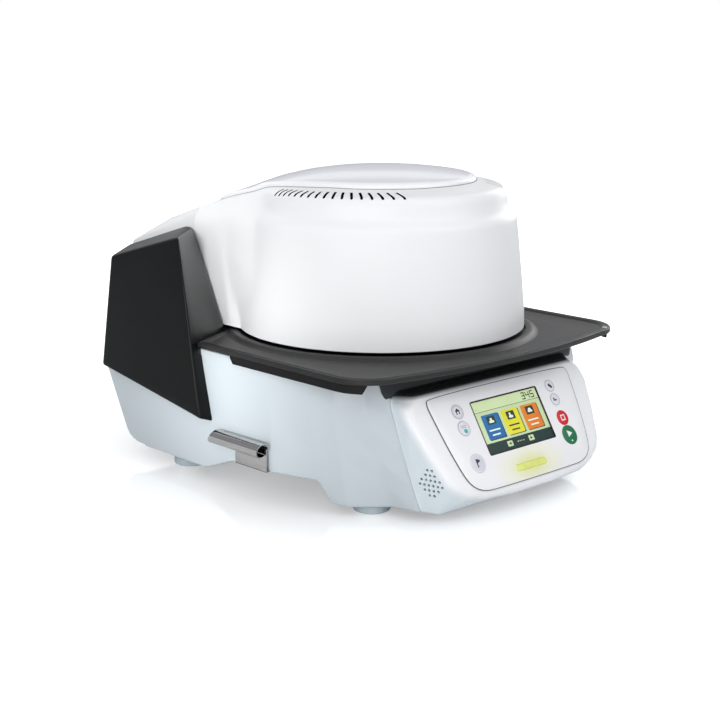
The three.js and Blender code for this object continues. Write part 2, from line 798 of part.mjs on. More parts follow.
function panelForm(inset) {
  const back = inset ? -panelCutBack : gap;
  const faceTopZ = panelOriginZ + faceTop * Math.sin(deg(panelTilt)) - faceEdgeRound;
  const levels = [frontLipHeight + inset, (frontLipHeight + faceTopZ) / 2, faceTopZ - inset];
  const rear = levels.flatMap((z) => {
    const share = (z - frontLipHeight) / (deckHeight - frontLipHeight);
    const half = mix(seamHalfBottom, seamHalfTop, share) - inset;
    const y = mix(seamFrontBottom, seamFrontTop, share) - back;
    return [[half, y, z], [-half, y, z]];
  });
  const chin = [seamHalfBottom - overrun - inset, panelBottomY + inset, frontLipHeight + inset];
  return hull([
    ...facePoints(inset + faceEdgeRound, -inset),
    ...facePoints(inset, -inset - faceEdgeRound),
    ...rear,
    chin,
    [-chin[0], chin[1], chin[2]],
  ]);
}

function roundedRect(halfWidth, halfHeight, centre, corner) {
  const points = [];
  for (const [sideX, sideY, turn] of [[1, -1, -1], [1, 1, 0], [-1, 1, 1], [-1, -1, 2]])
    for (const share of [0, 0.5, 1]) {
      const angle = (turn + share) * (Math.PI / 2);
      const x = sideX * (halfWidth - corner) + corner * Math.cos(angle);
      points.push([x, centre + sideY * (halfHeight - corner) + corner * Math.sin(angle)]);
    }
  return points;
}

const keys = [
  ["key_home", -keyColumn, homeKeyHeight, homeKeyRadius, white],
  ["key_mode", -keyColumn, modeKeyHeight, modeKeyRadius, white],
  ["key_program", -keyColumn, programKeyHeight, programKeyRadius, capGrey],
  ["key_tool", keyColumn, toolKeyHeight, toolKeyRadius, white],
  ["key_table", keyColumn, tableKeyHeight, tableKeyRadius, white],
  ["key_stop", keyColumn, stopKeyHeight, stopKeyRadius, stopRed],
  ["key_start", keyColumn, startKeyHeight, startKeyRadius, startGreen],
];
const overlayFront = gap + overlayThickness;
const windowDepth = keyDepth + keyProud;

// Everything that passes through the face, grown by the clearance around it
function faceCuts(grow) {
  const low = -faceCutDepth;
  const screen = roundedRect(displayHalfWidth + grow, displayHalfHeight + grow, displayCentre, sheet);
  const light = roundedRect(lightHalfWidth + grow, lightHalfHeight + grow, lightCentre, sheet);
  let cuts = prism(screen, low, overrun).add(prism(light, low, overrun));
  for (const [, u, w, radius] of keys)
    cuts = cuts.add(rod("z", radius + grow, low, overrun, u, w, smallSides));
  return cuts;
}

// Speaker grille: rows of small holes through the left side wall, with the speaker behind them
const speakerPlace = new THREE.Matrix4()
  .makeTranslation(speakerX, speakerY, speakerZ)
  .multiply(new THREE.Matrix4().makeRotationZ(deg(speakerTurn)))
  .multiply(new THREE.Matrix4().makeRotationY(deg(-speakerLean)));
const onSpeaker = (manifold) => solid(geometryOf(manifold).applyMatrix4(speakerPlace));
const grilleRows = [2, 3, 5, 6, 4, 2];
function grilleHoles() {
  const holes = grilleRows.flatMap((count, row) => {
    const z = ((grilleRows.length - 1) / 2 - row) * grilleRise;
    return Array.from({ length: count }, (_, i) => [(i - (count - 1) / 2) * grillePitch, z]);
  });
  return holes
    .map(([y, z]) => rod("x", grilleHoleRadius, -overrun, overrun, y, z, grilleSides))
    .reduce((all, hole) => all.add(hole));
}
const panelShell = panelForm(0)
  .subtract(panelForm(panelWall))
  .subtract(onPanel(faceCuts(gap)))
  .subtract(onSpeaker(grilleHoles()));
add("panel_housing", panelShell, white);
const speakerBody = onSpeaker(rod("x", speakerRadius, -overrun, speakerDepth, 0, 0, smallSides));
add("speaker", speakerBody.intersect(panelForm(panelWall + gap)), black);

const overlayShares = [
  [0.95, 1], [1, 0.95], [0.985, 0.8], [0.95, 0.52], [0.9, 0.26], [0.86, 0.13],
  [0.8, 0.06], [0.72, 0.02], [0.6, 0],
];
const overlayHalfLine = overlayShares.map(([u, w]) => [u * overlayHalf, mix(overlayBottom, overlayTop, w)]);
const overlayOutline = mirrorX(overlayHalfLine).reverse();
add("panel_overlay", prism(overlayOutline, gap, overlayFront).subtract(faceCuts(gap)), white, panel);
const screenOutline = roundedRect(displayHalfWidth, displayHalfHeight, displayCentre, sheet);
add("display_screen", prism(screenOutline, -windowDepth, overlayFront), black, panel);
const lightOutline = roundedRect(lightHalfWidth, lightHalfHeight, lightCentre, sheet);
add("status_light", prism(lightOutline, -windowDepth, overlayFront), lightYellow, panel);
for (const [name, u, w, radius, finish] of keys)
  add(name, rod("z", radius, -keyDepth, overlayFront + keyProud, u, w, smallSides), finish, panel);
const boardFront = -windowDepth - gap;
const boardBack = boardFront - boardThickness;
const boardSolid = box(-boardHalfWidth, boardHalfWidth, boardLow, boardHigh, boardBack, boardFront);
add("control_board", boardSolid, board, panel);

// Tong holder: a rolled tube with a slit, a tab on the side wall and a lip under the edge
const tongX = -(baseHalfWidth + gap + tongRadius);
function tongHolder() {
  const arcShares = Array.from({ length: tongSides + 1 }, (_, i) => i / tongSides);
  const sweep = 2 * (Math.PI - Math.asin(tongSlit / 2 / tongRadius));
  const arc = (radius) => arcShares.map((share) => {
    const angle = share * sweep;
    return [tongX + radius * Math.cos(angle), tongZ + radius * Math.sin(angle)];
  });
  const outline = [...arc(tongRadius), ...arc(tongRadius - tongWall).reverse()];
  const tube = frontPrism(outline, tongFrontY, tongRearY);
  const wallX = tongX + tongRadius;
  const lipTop = raisedEdgeHeight - gap;
  const tab = box(wallX - tongWall, wallX, tongTabFrontY, tongTabRearY, lipTop - tongWall, tongZ);
  const lip = box(wallX - tongWall, wallX + tongLip, tongTabFrontY, tongTabRearY, lipTop - tongWall, lipTop);
  return tube.add(tab).add(lip);
}
add("tong_holder", tongHolder(), steel);

// Rear connector bay: a folded panel with the fittings that pass through it
const bayFace = bayPanelY + sheet;
function rearPanel() {
  const half = bayHalf - gap;
  const low = bayBottom + gap;
  const high = bayTop - gap;
  const sides = [[bayPanelY, low], [rearAt(low) - gap, low], [rearAt(high) - gap, high], [bayPanelY, high]];
  let bay = sidePrism(sides, -half, half);
  bay = bay.subtract(box(sheet - half, half - sheet, bayFace, rearTopY + overrun, low - overrun, high - sheet));
  const hole = (x, halfX, halfZ) =>
    box(x - halfX - gap, x + halfX + gap, bayPanelY - overrun, bayFace + overrun, bayMiddleZ - halfZ - gap,
      bayMiddleZ + halfZ + gap);
  const round = (x, radius) =>
    rod("y", radius + gap, bayPanelY - overrun, bayFace + overrun, x, bayMiddleZ, smallSides);
  bay = bay.subtract(hole(inletX, inletHalfWidth, inletHalfHeight));
  bay = bay.subtract(hole(switchX, switchHalfWidth + switchFrameWall, switchHalfHeight + switchFrameWall));
  bay = bay.subtract(hole(portX, portHalfWidth, portHalfHeight));
  bay = bay.subtract(round(fuseX, fuseRadius)).subtract(round(hoseX, hoseRadius));
  for (let i = 0; i < fanSlotCount; i++) {
    const z = bayMiddleZ + mix(-fanSlotReach, fanSlotReach, i / (fanSlotCount - 1));
    const [low, high] = [z - fanSlotHeight / 2, z + fanSlotHeight / 2];
    const across = [fanX - fanSlotHalf, fanX + fanSlotHalf];
    bay = bay.subtract(box(...across, bayPanelY - overrun, bayFace + overrun, low, high));
  }
  return bay;
}
add("rear_panel", rearPanel(), steel);

function socket(x, halfX, halfZ, depth, wall) {
  const body = box(x - halfX, x + halfX, bayPanelY - depth, bayFace + wall, bayMiddleZ - halfZ, bayMiddleZ + halfZ);
  const hollow = box(x - halfX + wall, x + halfX - wall, bayPanelY - depth + wall * 2, bayFace + overrun,
    bayMiddleZ - halfZ + wall, bayMiddleZ + halfZ - wall);
  return body.subtract(hollow);
}
add("power_inlet", socket(inletX, inletHalfWidth, inletHalfHeight, inletDepth, sheet), black);
add("data_port", socket(portX, portHalfWidth, portHalfHeight, portDepth, sheet / 2), steel);
const fuseBack = bayFace - fuseInside;
const fuseSlot = box(fuseX - fuseRadius / 2, fuseX + fuseRadius / 2, fuseBack + fuseLength - sheet,
  fuseBack + fuseLength + sheet, bayMiddleZ - sheet / 2, bayMiddleZ + sheet / 2);
const fuseBody = rod("y", fuseRadius, fuseBack, fuseBack + fuseLength, fuseX, bayMiddleZ, smallSides);
add("fuse_holder", fuseBody.subtract(fuseSlot), black);

const hoseEnd = bayFace + hoseLength;
const hoseNozzle = rod("y", hoseRadius, bayPanelY - overrun, hoseEnd, hoseX, bayMiddleZ, smallSides)
  .add(rod("y", hoseCollarRadius, bayFace + gap, bayFace + gap + sheet, hoseX, bayMiddleZ, smallSides))
  .subtract(rod("y", hoseBore, bayFace + sheet, hoseEnd + overrun, hoseX, bayMiddleZ, smallSides));
add("vacuum_connector", hoseNozzle, steel);

const switchOuterX = switchHalfWidth + switchFrameWall;
const switchOuterZ = switchHalfHeight + switchFrameWall;
const switchFrame = box(switchX - switchOuterX, switchX + switchOuterX, bayPanelY - switchFrameDepth,
  bayFace + switchFrameWall / 2, bayMiddleZ - switchOuterZ, bayMiddleZ + switchOuterZ)
  .subtract(box(switchX - switchHalfWidth, switchX + switchHalfWidth,
    bayPanelY - switchFrameDepth + switchFrameWall, bayFace + overrun,
    bayMiddleZ - switchHalfHeight, bayMiddleZ + switchHalfHeight));
add("switch_frame", switchFrame, black);
const rockerHalf = switchHalfWidth - gap;
const rockerShares = [[-1, -0.8], [0.5, -0.9], [0.9, -1], [0.6, 0], [0.9, 1], [-1, 0.8]];
const rockerOutline = rockerShares.map(([y, z]) => [y * switchPivotDepth, z * rockerHalfHeight]);
const rocker = add("power_rocker", sidePrism(rockerOutline, -rockerHalf, rockerHalf), black);
rocker.position.set(switchX, bayPanelY, bayMiddleZ);
rocker.rotation.x = deg(switchTilt);

// Cooling fan behind the rear panel
const fanBack = bayPanelY - gap;
const fanFront = fanBack - fanDepth;
function fanFrame() {
  let frame = box(fanX - fanHalf, fanX + fanHalf, fanFront, fanBack, bayMiddleZ - fanHalf, bayMiddleZ + fanHalf);
  frame = frame.subtract(rod("y", fanBore, fanFront - overrun, fanBack + overrun, fanX, bayMiddleZ));
  const arm = box(0, fanBore + gap, fanFront, fanFront + sheet, -fanArmWidth / 2, fanArmWidth / 2);
  for (let i = 0; i < fanArmCount; i++) {
    const turned = arm.rotate([0, (360 * i) / fanArmCount, 0]);
    frame = frame.add(turned.translate([fanX, 0, bayMiddleZ]));
  }
  return frame.add(rod("y", fanShaftRadius, fanFront, fanBack - sheet, fanX, bayMiddleZ, smallSides));
}
add("fan_frame", fanFrame(), black);
function fanRotor() {
  const low = fanFront + sheet + gap;
  const high = fanBack - sheet / 2;
  const middle = (low + high) / 2;
  let rotor = rod("y", fanHubRadius, low, high, fanX, bayMiddleZ, smallSides);
  const blade = new THREE.BoxGeometry(fanBladeLength, fanBladeThickness, (high - low) * fanBladeShare);
  blade.rotateX(deg(90 - fanBladePitch)).translate(fanHubRadius - gap + fanBladeLength / 2, middle, 0);
  for (let i = 0; i < fanBladeCount; i++) {
    const turned = solid(blade).rotate([0, (360 * i) / fanBladeCount, 0]);
    rotor = rotor.add(turned.translate([fanX, 0, bayMiddleZ]));
  }
  const bore = rod("y", fanShaftRadius + pinClearance, low - overrun, high + overrun, fanX, bayMiddleZ, smallSides);
  return rotor.subtract(bore);
}
add("fan_rotor", fanRotor(), black);

// Inside the base: ring transformer and power board
const floorSeat = floorTop + gap;
const transformer = ring(transformerBore, transformerRadius, floorSeat, floorSeat + transformerHeight);
add("transformer", transformer.translate([transformerX, transformerY, 0]), steel);
function powerBoard() {
  const low = floorSeat + powerBoardRise;
  const [x0, x1] = [powerBoardX - powerBoardHalf, powerBoardX + powerBoardHalf];
  const [y0, y1] = [powerBoardY - powerBoardHalf, powerBoardY + powerBoardHalf];
  let solidBoard = box(x0, x1, y0, y1, low, low + boardThickness);
  for (const x of [x0 + overrun, x1 - overrun])
    for (const y of [y0 + overrun, y1 - overrun])
      solidBoard = solidBoard.add(rod("z", sheet, floorSeat, low + gap, x, y, smallSides));
  const [sinkLeft, sinkRight] = [powerBoardX - bracketHalf, powerBoardX + bracketHalf];
  const sink = box(sinkLeft, sinkRight, y0 + overrun, y0 + bracketHalf, low, low + heatSinkHeight);
  return solidBoard.add(sink);
}
add("power_board", powerBoard(), board);

// The origin lies on the floor under the middle of the whole furnace
root.updateMatrixWorld(true);
const bounds = new THREE.Box3().setFromObject(root);
root.position.set(-(bounds.min.x + bounds.max.x) / 2, -(bounds.min.y + bounds.max.y) / 2, -bounds.min.z);

export default root;
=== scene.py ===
from math import cos, hypot, pi, radians, sin, sqrt

import bpy
import bmesh
import numpy as np
from mathutils import Matrix, Vector
from mathutils.bvhtree import BVHTree


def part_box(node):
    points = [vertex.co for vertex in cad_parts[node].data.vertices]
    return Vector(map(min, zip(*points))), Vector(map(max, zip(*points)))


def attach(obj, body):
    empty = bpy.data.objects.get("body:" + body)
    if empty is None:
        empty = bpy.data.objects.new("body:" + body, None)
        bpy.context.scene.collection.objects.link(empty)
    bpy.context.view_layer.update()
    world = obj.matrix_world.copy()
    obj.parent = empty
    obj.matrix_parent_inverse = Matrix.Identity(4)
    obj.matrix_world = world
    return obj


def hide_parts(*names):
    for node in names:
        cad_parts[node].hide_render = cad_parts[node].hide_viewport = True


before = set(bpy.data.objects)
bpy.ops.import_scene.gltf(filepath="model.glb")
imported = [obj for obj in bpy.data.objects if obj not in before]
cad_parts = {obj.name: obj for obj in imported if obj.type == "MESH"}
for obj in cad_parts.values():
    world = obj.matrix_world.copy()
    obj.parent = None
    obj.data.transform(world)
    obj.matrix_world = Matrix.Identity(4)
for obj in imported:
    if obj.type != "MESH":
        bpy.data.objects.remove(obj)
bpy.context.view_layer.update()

MM = 0.001
table_low, table_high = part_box("firing_table")
AXIS_Y = (table_low.y + table_high.y) / 2
scene = bpy.context.scene

# Sizes in millimetres, in the frame of the drum: X = 0 and Y = 0 on its axis
HOOD_BOTTOM = 148.7
DRUM_RADIUS = 145.2
DOME_TOP = 304.2
HOOD_WALL = 3.2
ARM_HALF = 125.8
SEAM_Y = 146
DECK = 136
LIP = 9
SIDE_HALF = 178.6
PANEL_TILT = radians(58.18)
PANEL_Y = -208.8
PANEL_Z = 32.6
PANEL_TOP = 118.67
LIGHT_W = 10.4
PLATE_HALF = 185
PLATE_FRONT = -171
PLATE_CORNER = 42
PLATE_FLOOR = 142.5
PEDESTAL_HOLE = 56.3
FRAME_REAR = 20

# Reach of the cutting boxes, and the grid that rounds the soft forms
WIDE = 300
FAR = 400
VOXEL = 2.0


def add(name, data):
    obj = bpy.data.objects.new(name, data)
    scene.collection.objects.link(obj)
    return obj


# Camera, solved from the photograph's perspective
def make_camera():
    data = bpy.data.cameras.new("camera")
    data.lens = 76.25
    data.sensor_width = 36
    data.clip_start = 0.05
    data.clip_end = 50
    camera = add("camera", data)
    camera.location = (-1.0655, -1.09875 + AXIS_Y, 0.46309)
    camera.rotation_euler = (radians(76.948), 0, radians(-43.292))
    scene.camera = camera


make_camera()


# Mesh helpers: points are given in millimetres in the drum's frame, and spots closer than these are one
SAME_SPOT = 1e-7
AXIS_SPOT = 5e-7


def to_frame(points):
    p = np.array(points, float).reshape(-1, 3)
    p[:, 1] += AXIS_Y / MM
    return p * MM


def from_frame(spot):
    return spot.x / MM, (spot.y - AXIS_Y) / MM, spot.z / MM


def edit_mesh(mesh, work):
    bm = bmesh.new()
    bm.from_mesh(mesh)
    work(bm)
    bmesh.ops.recalc_face_normals(bm, faces=bm.faces)
    bm.to_mesh(mesh)
    bm.free()


def make(name, points, faces):
    mesh = bpy.data.meshes.new(name)
    mesh.from_pydata(to_frame(points).tolist(), [], [list(f) for f in faces])
    mesh.update()
    edit_mesh(mesh, lambda bm: bmesh.ops.remove_doubles(bm, verts=bm.verts, dist=SAME_SPOT))
    return add(name, mesh)


def evaluated(obj):
    graph = bpy.context.evaluated_depsgraph_get()
    mesh = bpy.data.meshes.new_from_object(obj.evaluated_get(graph))
    obj.modifiers.clear()
    return mesh


def modify(obj, kind, **settings):
    modifier = obj.modifiers.new(kind.lower(), kind)
    for key, value in settings.items():
        setattr(modifier, key, value)
    old = obj.data
    obj.data = evaluated(obj)
    bpy.data.meshes.remove(old)
    return obj


def drop(*objs):
    for obj in objs:
        bpy.data.objects.remove(obj)


def join(name, objs):
    points, faces, start = [], [], 0
    for obj in objs:
        points += [v.co[:] for v in obj.data.vertices]
        faces += [[start + i for i in p.vertices] for p in obj.data.polygons]
        start = len(points)
    mesh = bpy.data.meshes.new(name)
    mesh.from_pydata(points, [], faces)
    drop(*objs)
    return add(name, mesh)


def copy_of(obj, name):
    return add(name, obj.data.copy())


def boolean(obj, cutter, operation="DIFFERENCE", keep=False):
    before = len(obj.data.polygons)
    for solver in ("MANIFOLD", "EXACT"):
        m = obj.modifiers.new("cut", "BOOLEAN")
        m.operation = operation
        m.object = cutter
        m.solver = solver
        mesh = evaluated(obj)
        if 0 < len(mesh.polygons) != before:
            obj.data = mesh
            break
    if not keep:
        drop(cutter)
    return obj


def box(x0, x1, y0, y1, z0, z1):
    points = [(x, y, z) for x in (x0, x1) for y in (y0, y1) for z in (z0, z1)]
    faces = [(0, 1, 3, 2), (4, 6, 7, 5), (0, 4, 5, 1), (2, 3, 7, 6), (0, 2, 6, 4), (1, 5, 7, 3)]
    return make("box", points, faces)


def hull(points):
    def wrap(bm):
        for p in to_frame(points):
            bm.verts.new(p)
        out = bmesh.ops.convex_hull(bm, input=bm.verts)
        inside = [v for v in out["geom_interior"] if isinstance(v, bmesh.types.BMVert)]
        bmesh.ops.delete(bm, geom=inside, context="VERTS")
    mesh = bpy.data.meshes.new("hull")
    edit_mesh(mesh, wrap)
    return add("hull", mesh)


def loft(rings, name="loft", caps=True):
    n = len(rings[0])
    points = [p for ring in rings for p in ring]
    faces = []
    for k in range(len(rings) - 1):
        for i in range(n):
            a, b = k * n + i, k * n + (i + 1) % n
            faces.append((a, b, b + n, a + n))
    if caps:
        faces.append(tuple(range(n))[::-1])
        faces.append(tuple(range((len(rings) - 1) * n, len(rings) * n)))
    return make(name, points, faces)


# Rings in a loop: the last one is joined to the first
def closed_loft(rings, name):
    return loft([*rings, rings[0]], name, caps=False)


def circle(u, w, r, sides=48):
    turns = [2 * pi * k / sides for k in range(sides)]
    return [(u + r * cos(a), w + r * sin(a)) for a in turns]


# A turned piece; its profile of radius and height is a closed line or runs from the axis to the axis
def lathe(profile, sides=96, name="lathe", centre=(0, 0)):
    def close_axis(bm):
        bmesh.ops.remove_doubles(bm, verts=bm.verts, dist=AXIS_SPOT)
        bmesh.ops.dissolve_degenerate(bm, dist=1e-8, edges=bm.edges)
    rings = [[(x, y, z) for x, y in circle(*centre, max(r, 1e-4), sides)] for r, z in profile]
    obj = loft(rings, name, caps=False)
    edit_mesh(obj.data, close_axis)
    return obj


def prism(outline, z0, z1):
    return loft([[(x, y, z) for x, y in outline] for z in (z0, z1)], "prism")


def side_prism(outline, x0, x1):
    return loft([[(x, y, z) for y, z in outline] for x in (x0, x1)], "prism")


# Cuts the corners of a line, twice or more
def chaikin(points, times=2, closed=False):
    p = [np.array(q, float) for q in points]
    for _ in range(times):
        pairs = zip(p, p[1:] + p[:1]) if closed else zip(p, p[1:])
        cut = [c for a, b in pairs for c in (a * 0.75 + b * 0.25, a * 0.25 + b * 0.75)]
        p = cut if closed else [p[0], *cut, p[-1]]
    return [tuple(a) for a in p]


# Smooth curve through all the points
def spline(points, steps):
    p = [np.array(q, float) for q in points]
    p = [2 * p[0] - p[1], *p, 2 * p[-1] - p[-2]]
    out = []
    for a, b, c, d in zip(p, p[1:], p[2:], p[3:]):
        ab, bc, cd = (max(np.linalg.norm(v) ** 0.5, 1e-6) for v in (b - a, c - b, d - c))
        leave = (c - b) + bc * ((b - a) / ab - (c - a) / (ab + bc))
        arrive = (c - b) + bc * ((d - c) / cd - (d - b) / (bc + cd))
        for k in range(steps):
            t = k / steps
            ease = 3 * t * t - 2 * t ** 3
            out.append(tuple((1 - ease) * b + (t ** 3 - 2 * t * t + t) * leave + ease * c
                             + (t ** 3 - t * t) * arrive))
    return out + [tuple(p[-2])]


def mix(a, b, t):
    return a + (b - a) * t


def mirrored(half):
    return list(half) + [(-p[0], *p[1:]) for p in reversed(half)]


# Remeshed and relaxed, so that its edges and joints come out round; an area can get more rounds
def soften(obj, voxel, rounds, area=None, more=0):
    modify(obj, "REMESH", mode="VOXEL", voxel_size=voxel * MM)
    modify(obj, "SMOOTH", iterations=rounds, factor=0.5)
    if area:
        group = obj.vertex_groups.new(name="area")
        for v in obj.data.vertices:
            weight = area(*from_frame(v.co))
            if weight > 0:
                group.add([v.index], weight, "REPLACE")
        modify(obj, "SMOOTH", iterations=more, factor=0.6, vertex_group="area")
    return obj


def sharpen(obj, degrees=32):
    obj.data.shade_smooth()
    obj.data.set_sharp_from_angle(angle=radians(degrees))
    return obj


def bevel(obj, width, segments, degrees=25):
    modify(obj, "BEVEL", width=width * MM, segments=segments, limit_method="ANGLE",
           angle_limit=radians(degrees), harden_normals=False)
    return sharpen(obj, 40)


# Materials: each is a node graph on object coordinates, in metres
def feed(tree, made, inputs):
    for key, value in inputs.items():
        if isinstance(value, bpy.types.NodeSocket):
            tree.links.new(value, made.inputs[key])
        else:
            made.inputs[key].default_value = value


def node(tree, kind, inputs, output=0, **settings):
    made = tree.nodes.new("ShaderNode" + kind)
    for key, value in settings.items():
        setattr(made, key, value)
    feed(tree, made, inputs)
    return made.outputs[output]


def shader(name, color, rough=0.4, metal=0.0, coat=0.0, coat_rough=0.1, shine=0.5):
    mat = bpy.data.materials.new(name)
    mat.use_nodes = True
    tree = mat.node_tree
    bsdf = tree.nodes["Principled BSDF"]
    feed(tree, bsdf, {"Base Color": (*color, 1), "Roughness": rough, "Metallic": metal, "Coat Weight": coat,
                      "Coat Roughness": coat_rough, "Specular IOR Level": shine})
    return mat, tree, bsdf


def texture_at(tree, scale=(1, 1, 1)):
    return node(tree, "Mapping", {"Scale": scale, "Vector": node(tree, "TexCoord", {}, "Object")})


def noise(tree, vector, scale, detail=3):
    return node(tree, "TexNoise", {"Scale": scale, "Detail": detail, "Roughness": 0.55, "Vector": vector})


def ramp(tree, value, stops):
    out = node(tree, "ValToRGB", {"Fac": value})
    elements = out.node.color_ramp.elements
    while len(elements) < len(stops):
        elements.new(0.5)
    for element, (at, color) in zip(elements, stops):
        element.position = at
        element.color = (*color, 1)
    return out


def span(tree, value, low, high, to_low, to_high):
    return node(tree, "MapRange", {
        "Value": value, "From Min": low, "From Max": high, "To Min": to_low, "To Max": to_high})


def bump(tree, height, strength, distance):
    return node(tree, "Bump", {"Strength": strength, "Distance": distance, "Height": height})


def vector_math(tree, operation, first, second, output=0):
    return node(tree, "VectorMath", {0: first, 1: second}, output, operation=operation)


def length_of(tree, vector):
    return node(tree, "VectorMath", {0: vector}, "Value", operation="LENGTH")


def shade(color, factor):
    return tuple(min(1, c * factor) for c in color)


def surface(name, color, rough, vary, patch, grain, relief, depth, metal=0.0, coat=0.0, stretch=(1, 1, 1),
            coat_rough=0.12, spread=0.06, shine=0.5):
    mat, tree, bsdf = shader(name, color, rough, metal, coat, coat_rough, shine)
    at = texture_at(tree, stretch)
    tint = ramp(tree, noise(tree, at, patch), [(0.3, shade(color, 1 - vary)), (0.7, shade(color, 1 + vary))])
    fine = noise(tree, at, grain)
    feed(tree, bsdf, {
        "Base Color": tint, "Normal": bump(tree, fine, relief, depth),
        "Roughness": span(tree, fine, 0.3, 0.7, max(rough - spread, 0.02), min(rough + spread, 1))})
    return mat


# The housing's material: white near the face and pale blue behind it; the near-black band at its top, under
# the plate, is painted shade
def panel_enamel(*values, **more):
    mat = surface(*values, **more)
    tree = mat.node_tree
    bsdf = tree.nodes["Principled BSDF"]
    at = texture_at(tree)
    outward = (0, -sin(PANEL_TILT), cos(PANEL_TILT))
    level = float(np.dot(to_frame([face_point(0, 40, 0)])[0], outward))
    out = vector_math(tree, "DOT_PRODUCT", at, outward, "Value")
    height = node(tree, "SeparateXYZ", {0: at}, "Z")
    tint = bsdf.inputs["Base Color"].links[0].from_socket
    # The second colour is painted shade: near black at the top, fading out between 118.2 and 114.5 mm
    for share, color in ((span(tree, out, level - 0.011, level - 0.002, 1, 0), (0.69, 0.765, 0.80, 1)),
                         (span(tree, height, 0.1145, 0.1182, 0, 1), (0.02, 0.022, 0.024, 1))):
        tint = node(tree, "Mix", {"B": color, "Factor": share, "A": tint}, "Result", data_type="RGBA")
    feed(tree, bsdf, {"Base Color": tint})
    return mat


def glowing(name, color, light, patch, other=None):
    mat, tree, bsdf = shader(name, color, 0.25, coat=0.3, coat_rough=0.08)
    tint = ramp(tree, noise(tree, texture_at(tree), patch, 2),
                [(0.25, shade(color, 0.94)), (0.75, other or shade(color, 1.05))])
    feed(tree, bsdf, {"Base Color": tint, "Emission Color": tint, "Emission Strength": light})
    return mat


# The printed film: white, with a painted glow of the lit bar, a yellow-green tint that fades away from the
# bar
def overlay_film():
    color = (0.88, 0.88, 0.90)
    mat, tree, bsdf = shader("overlay_film", color, 0.36, coat=0.15)
    at = texture_at(tree)
    centre = to_frame([face_point(0, LIGHT_W, 1)])[0]
    from_light = vector_math(tree, "SUBTRACT", at, centre)
    squeezed = vector_math(tree, "MULTIPLY", from_light, (28, 62, 62))
    fine = noise(tree, at, 700)
    feed(tree, bsdf, {
        # Painted glow: yellow-green at the bar, fading to the film's white
        "Base Color": ramp(tree, span(tree, length_of(tree, squeezed), 0.35, 1.5, 0, 1),
                           [(0.0, (0.78, 0.80, 0.42)), (0.45, (0.86, 0.865, 0.74)), (1.0, color)]),
        "Roughness": span(tree, fine, 0.3, 0.7, 0.3, 0.42), "Normal": bump(tree, fine, 0.08, 0.00006)})
    return mat


FINE_GRAIN = (7, 1500, 0.02, 2e-5)
KEY_GRAIN = (60, 800)
# Name, colour, roughness, change of tint, scale of its patches, grain, relief, its depth, other inputs
SURFACES = {
    "hood": ("hood_enamel", (0.81, 0.815, 0.82), 0.42, 0.004, *FINE_GRAIN,
             dict(coat=0.12, spread=0.015, coat_rough=0.3)),
    "cap": ("cap_lilac", (0.755, 0.755, 0.80), 0.3, 0.006, *FINE_GRAIN, dict(coat=0.3, spread=0.015)),
    "cap_rim": ("cap_rim", (0.87, 0.87, 0.89), 0.34, 0.004, *FINE_GRAIN,
                dict(coat=0.2, spread=0.015, coat_rough=0.3)),
    "seam": ("cap_seam", (0.20, 0.20, 0.215), 0.6, 0.05, 40, 1200, 0.1, 3e-5, {}),
    "cover": ("cover_grey", (0.72, 0.735, 0.74), 0.3, 0.006, 7, 1500, 0.03, 3e-5,
              dict(coat=0.2, spread=0.02)),
    "base": ("base_enamel", (0.55, 0.61, 0.64), 0.34, 0.008, 6, 1500, 0.03, 3e-5,
             dict(coat=0.15, spread=0.02)),
    "cheek": ("cheek_satin", (0.0035, 0.0046, 0.0046), 0.44, 0.12, 14, 1500, 0.3, 6e-5,
              dict(spread=0.05, shine=0.14)),
    "cheek_gloss": ("cheek_gloss", (0.0035, 0.0046, 0.005), 0.3, 0.12, 14, 1500, 0.2, 4e-5,
                    dict(spread=0.04, shine=0.4)),
    "plate": ("plate_charcoal", (0.014, 0.0138, 0.0135), 0.44, 0.12, 16, 1300, 0.3, 8e-5, dict(shine=0.4)),
    "plate_dark": ("plate_underside", (0.008, 0.008, 0.009), 0.6, 0.15, 20, 1200, 0.3, 1e-4, dict(shine=0.2)),
    "polish": ("polished_steel", (0.60, 0.585, 0.575), 0.1, 0.1, 30, 180, 0.12, 6e-5,
               dict(metal=1, stretch=(9, 1, 9), spread=0.07)),
    "steel": ("brushed_steel", (0.50, 0.51, 0.52), 0.33, 0.08, 24, 300, 0.2, 6e-5,
              dict(metal=1, stretch=(1, 9, 9), spread=0.1)),
    "ceramic": ("fired_ceramic", (0.74, 0.70, 0.63), 0.85, 0.06, 40, 900, 0.7, 3e-4, dict(spread=0.08)),
    "fibre": ("seal_fibre", (0.55, 0.52, 0.46), 0.92, 0.12, 120, 1600, 0.9, 4e-4, dict(stretch=(1, 1, 3))),
    "foot": ("foot_rubber", (0.52, 0.61, 0.655), 0.55, 0.06, 30, 1200, 0.3, 1e-4, {}),
    "plastic": ("black_plastic", (0.02, 0.021, 0.023), 0.42, 0.12, 30, 1300, 0.25, 1e-4, {}),
    "board": ("board_green", (0.03, 0.18, 0.09), 0.5, 0.15, 60, 500, 0.3, 2e-4, {}),
    "motor": ("motor_grey", (0.17, 0.175, 0.185), 0.45, 0.08, 40, 900, 0.25, 1e-4, {}),
    "line": ("outline_ink", (0.09, 0.09, 0.10), 0.45, 0.05, 60, 900, 0.1, 3e-5, {}),
    "bezel": ("display_bezel", (0.012, 0.013, 0.014), 0.2, 0.1, 40, 900, 0.05, 3e-5, {}),
    # Near black for the slot walls and the sheet under the slots: painted shade of the hood's dark inside
    "slot_shade": ("vent_liner", (0.002, 0.002, 0.0022), 0.8, 0.1, 30, 900, 0.2, 1e-4, dict(shine=0.05)),
    "coil": ("heating_wire", (0.23, 0.13, 0.09), 0.55, 0.2, 80, 700, 0.4, 1e-4, dict(metal=0.6)),
}
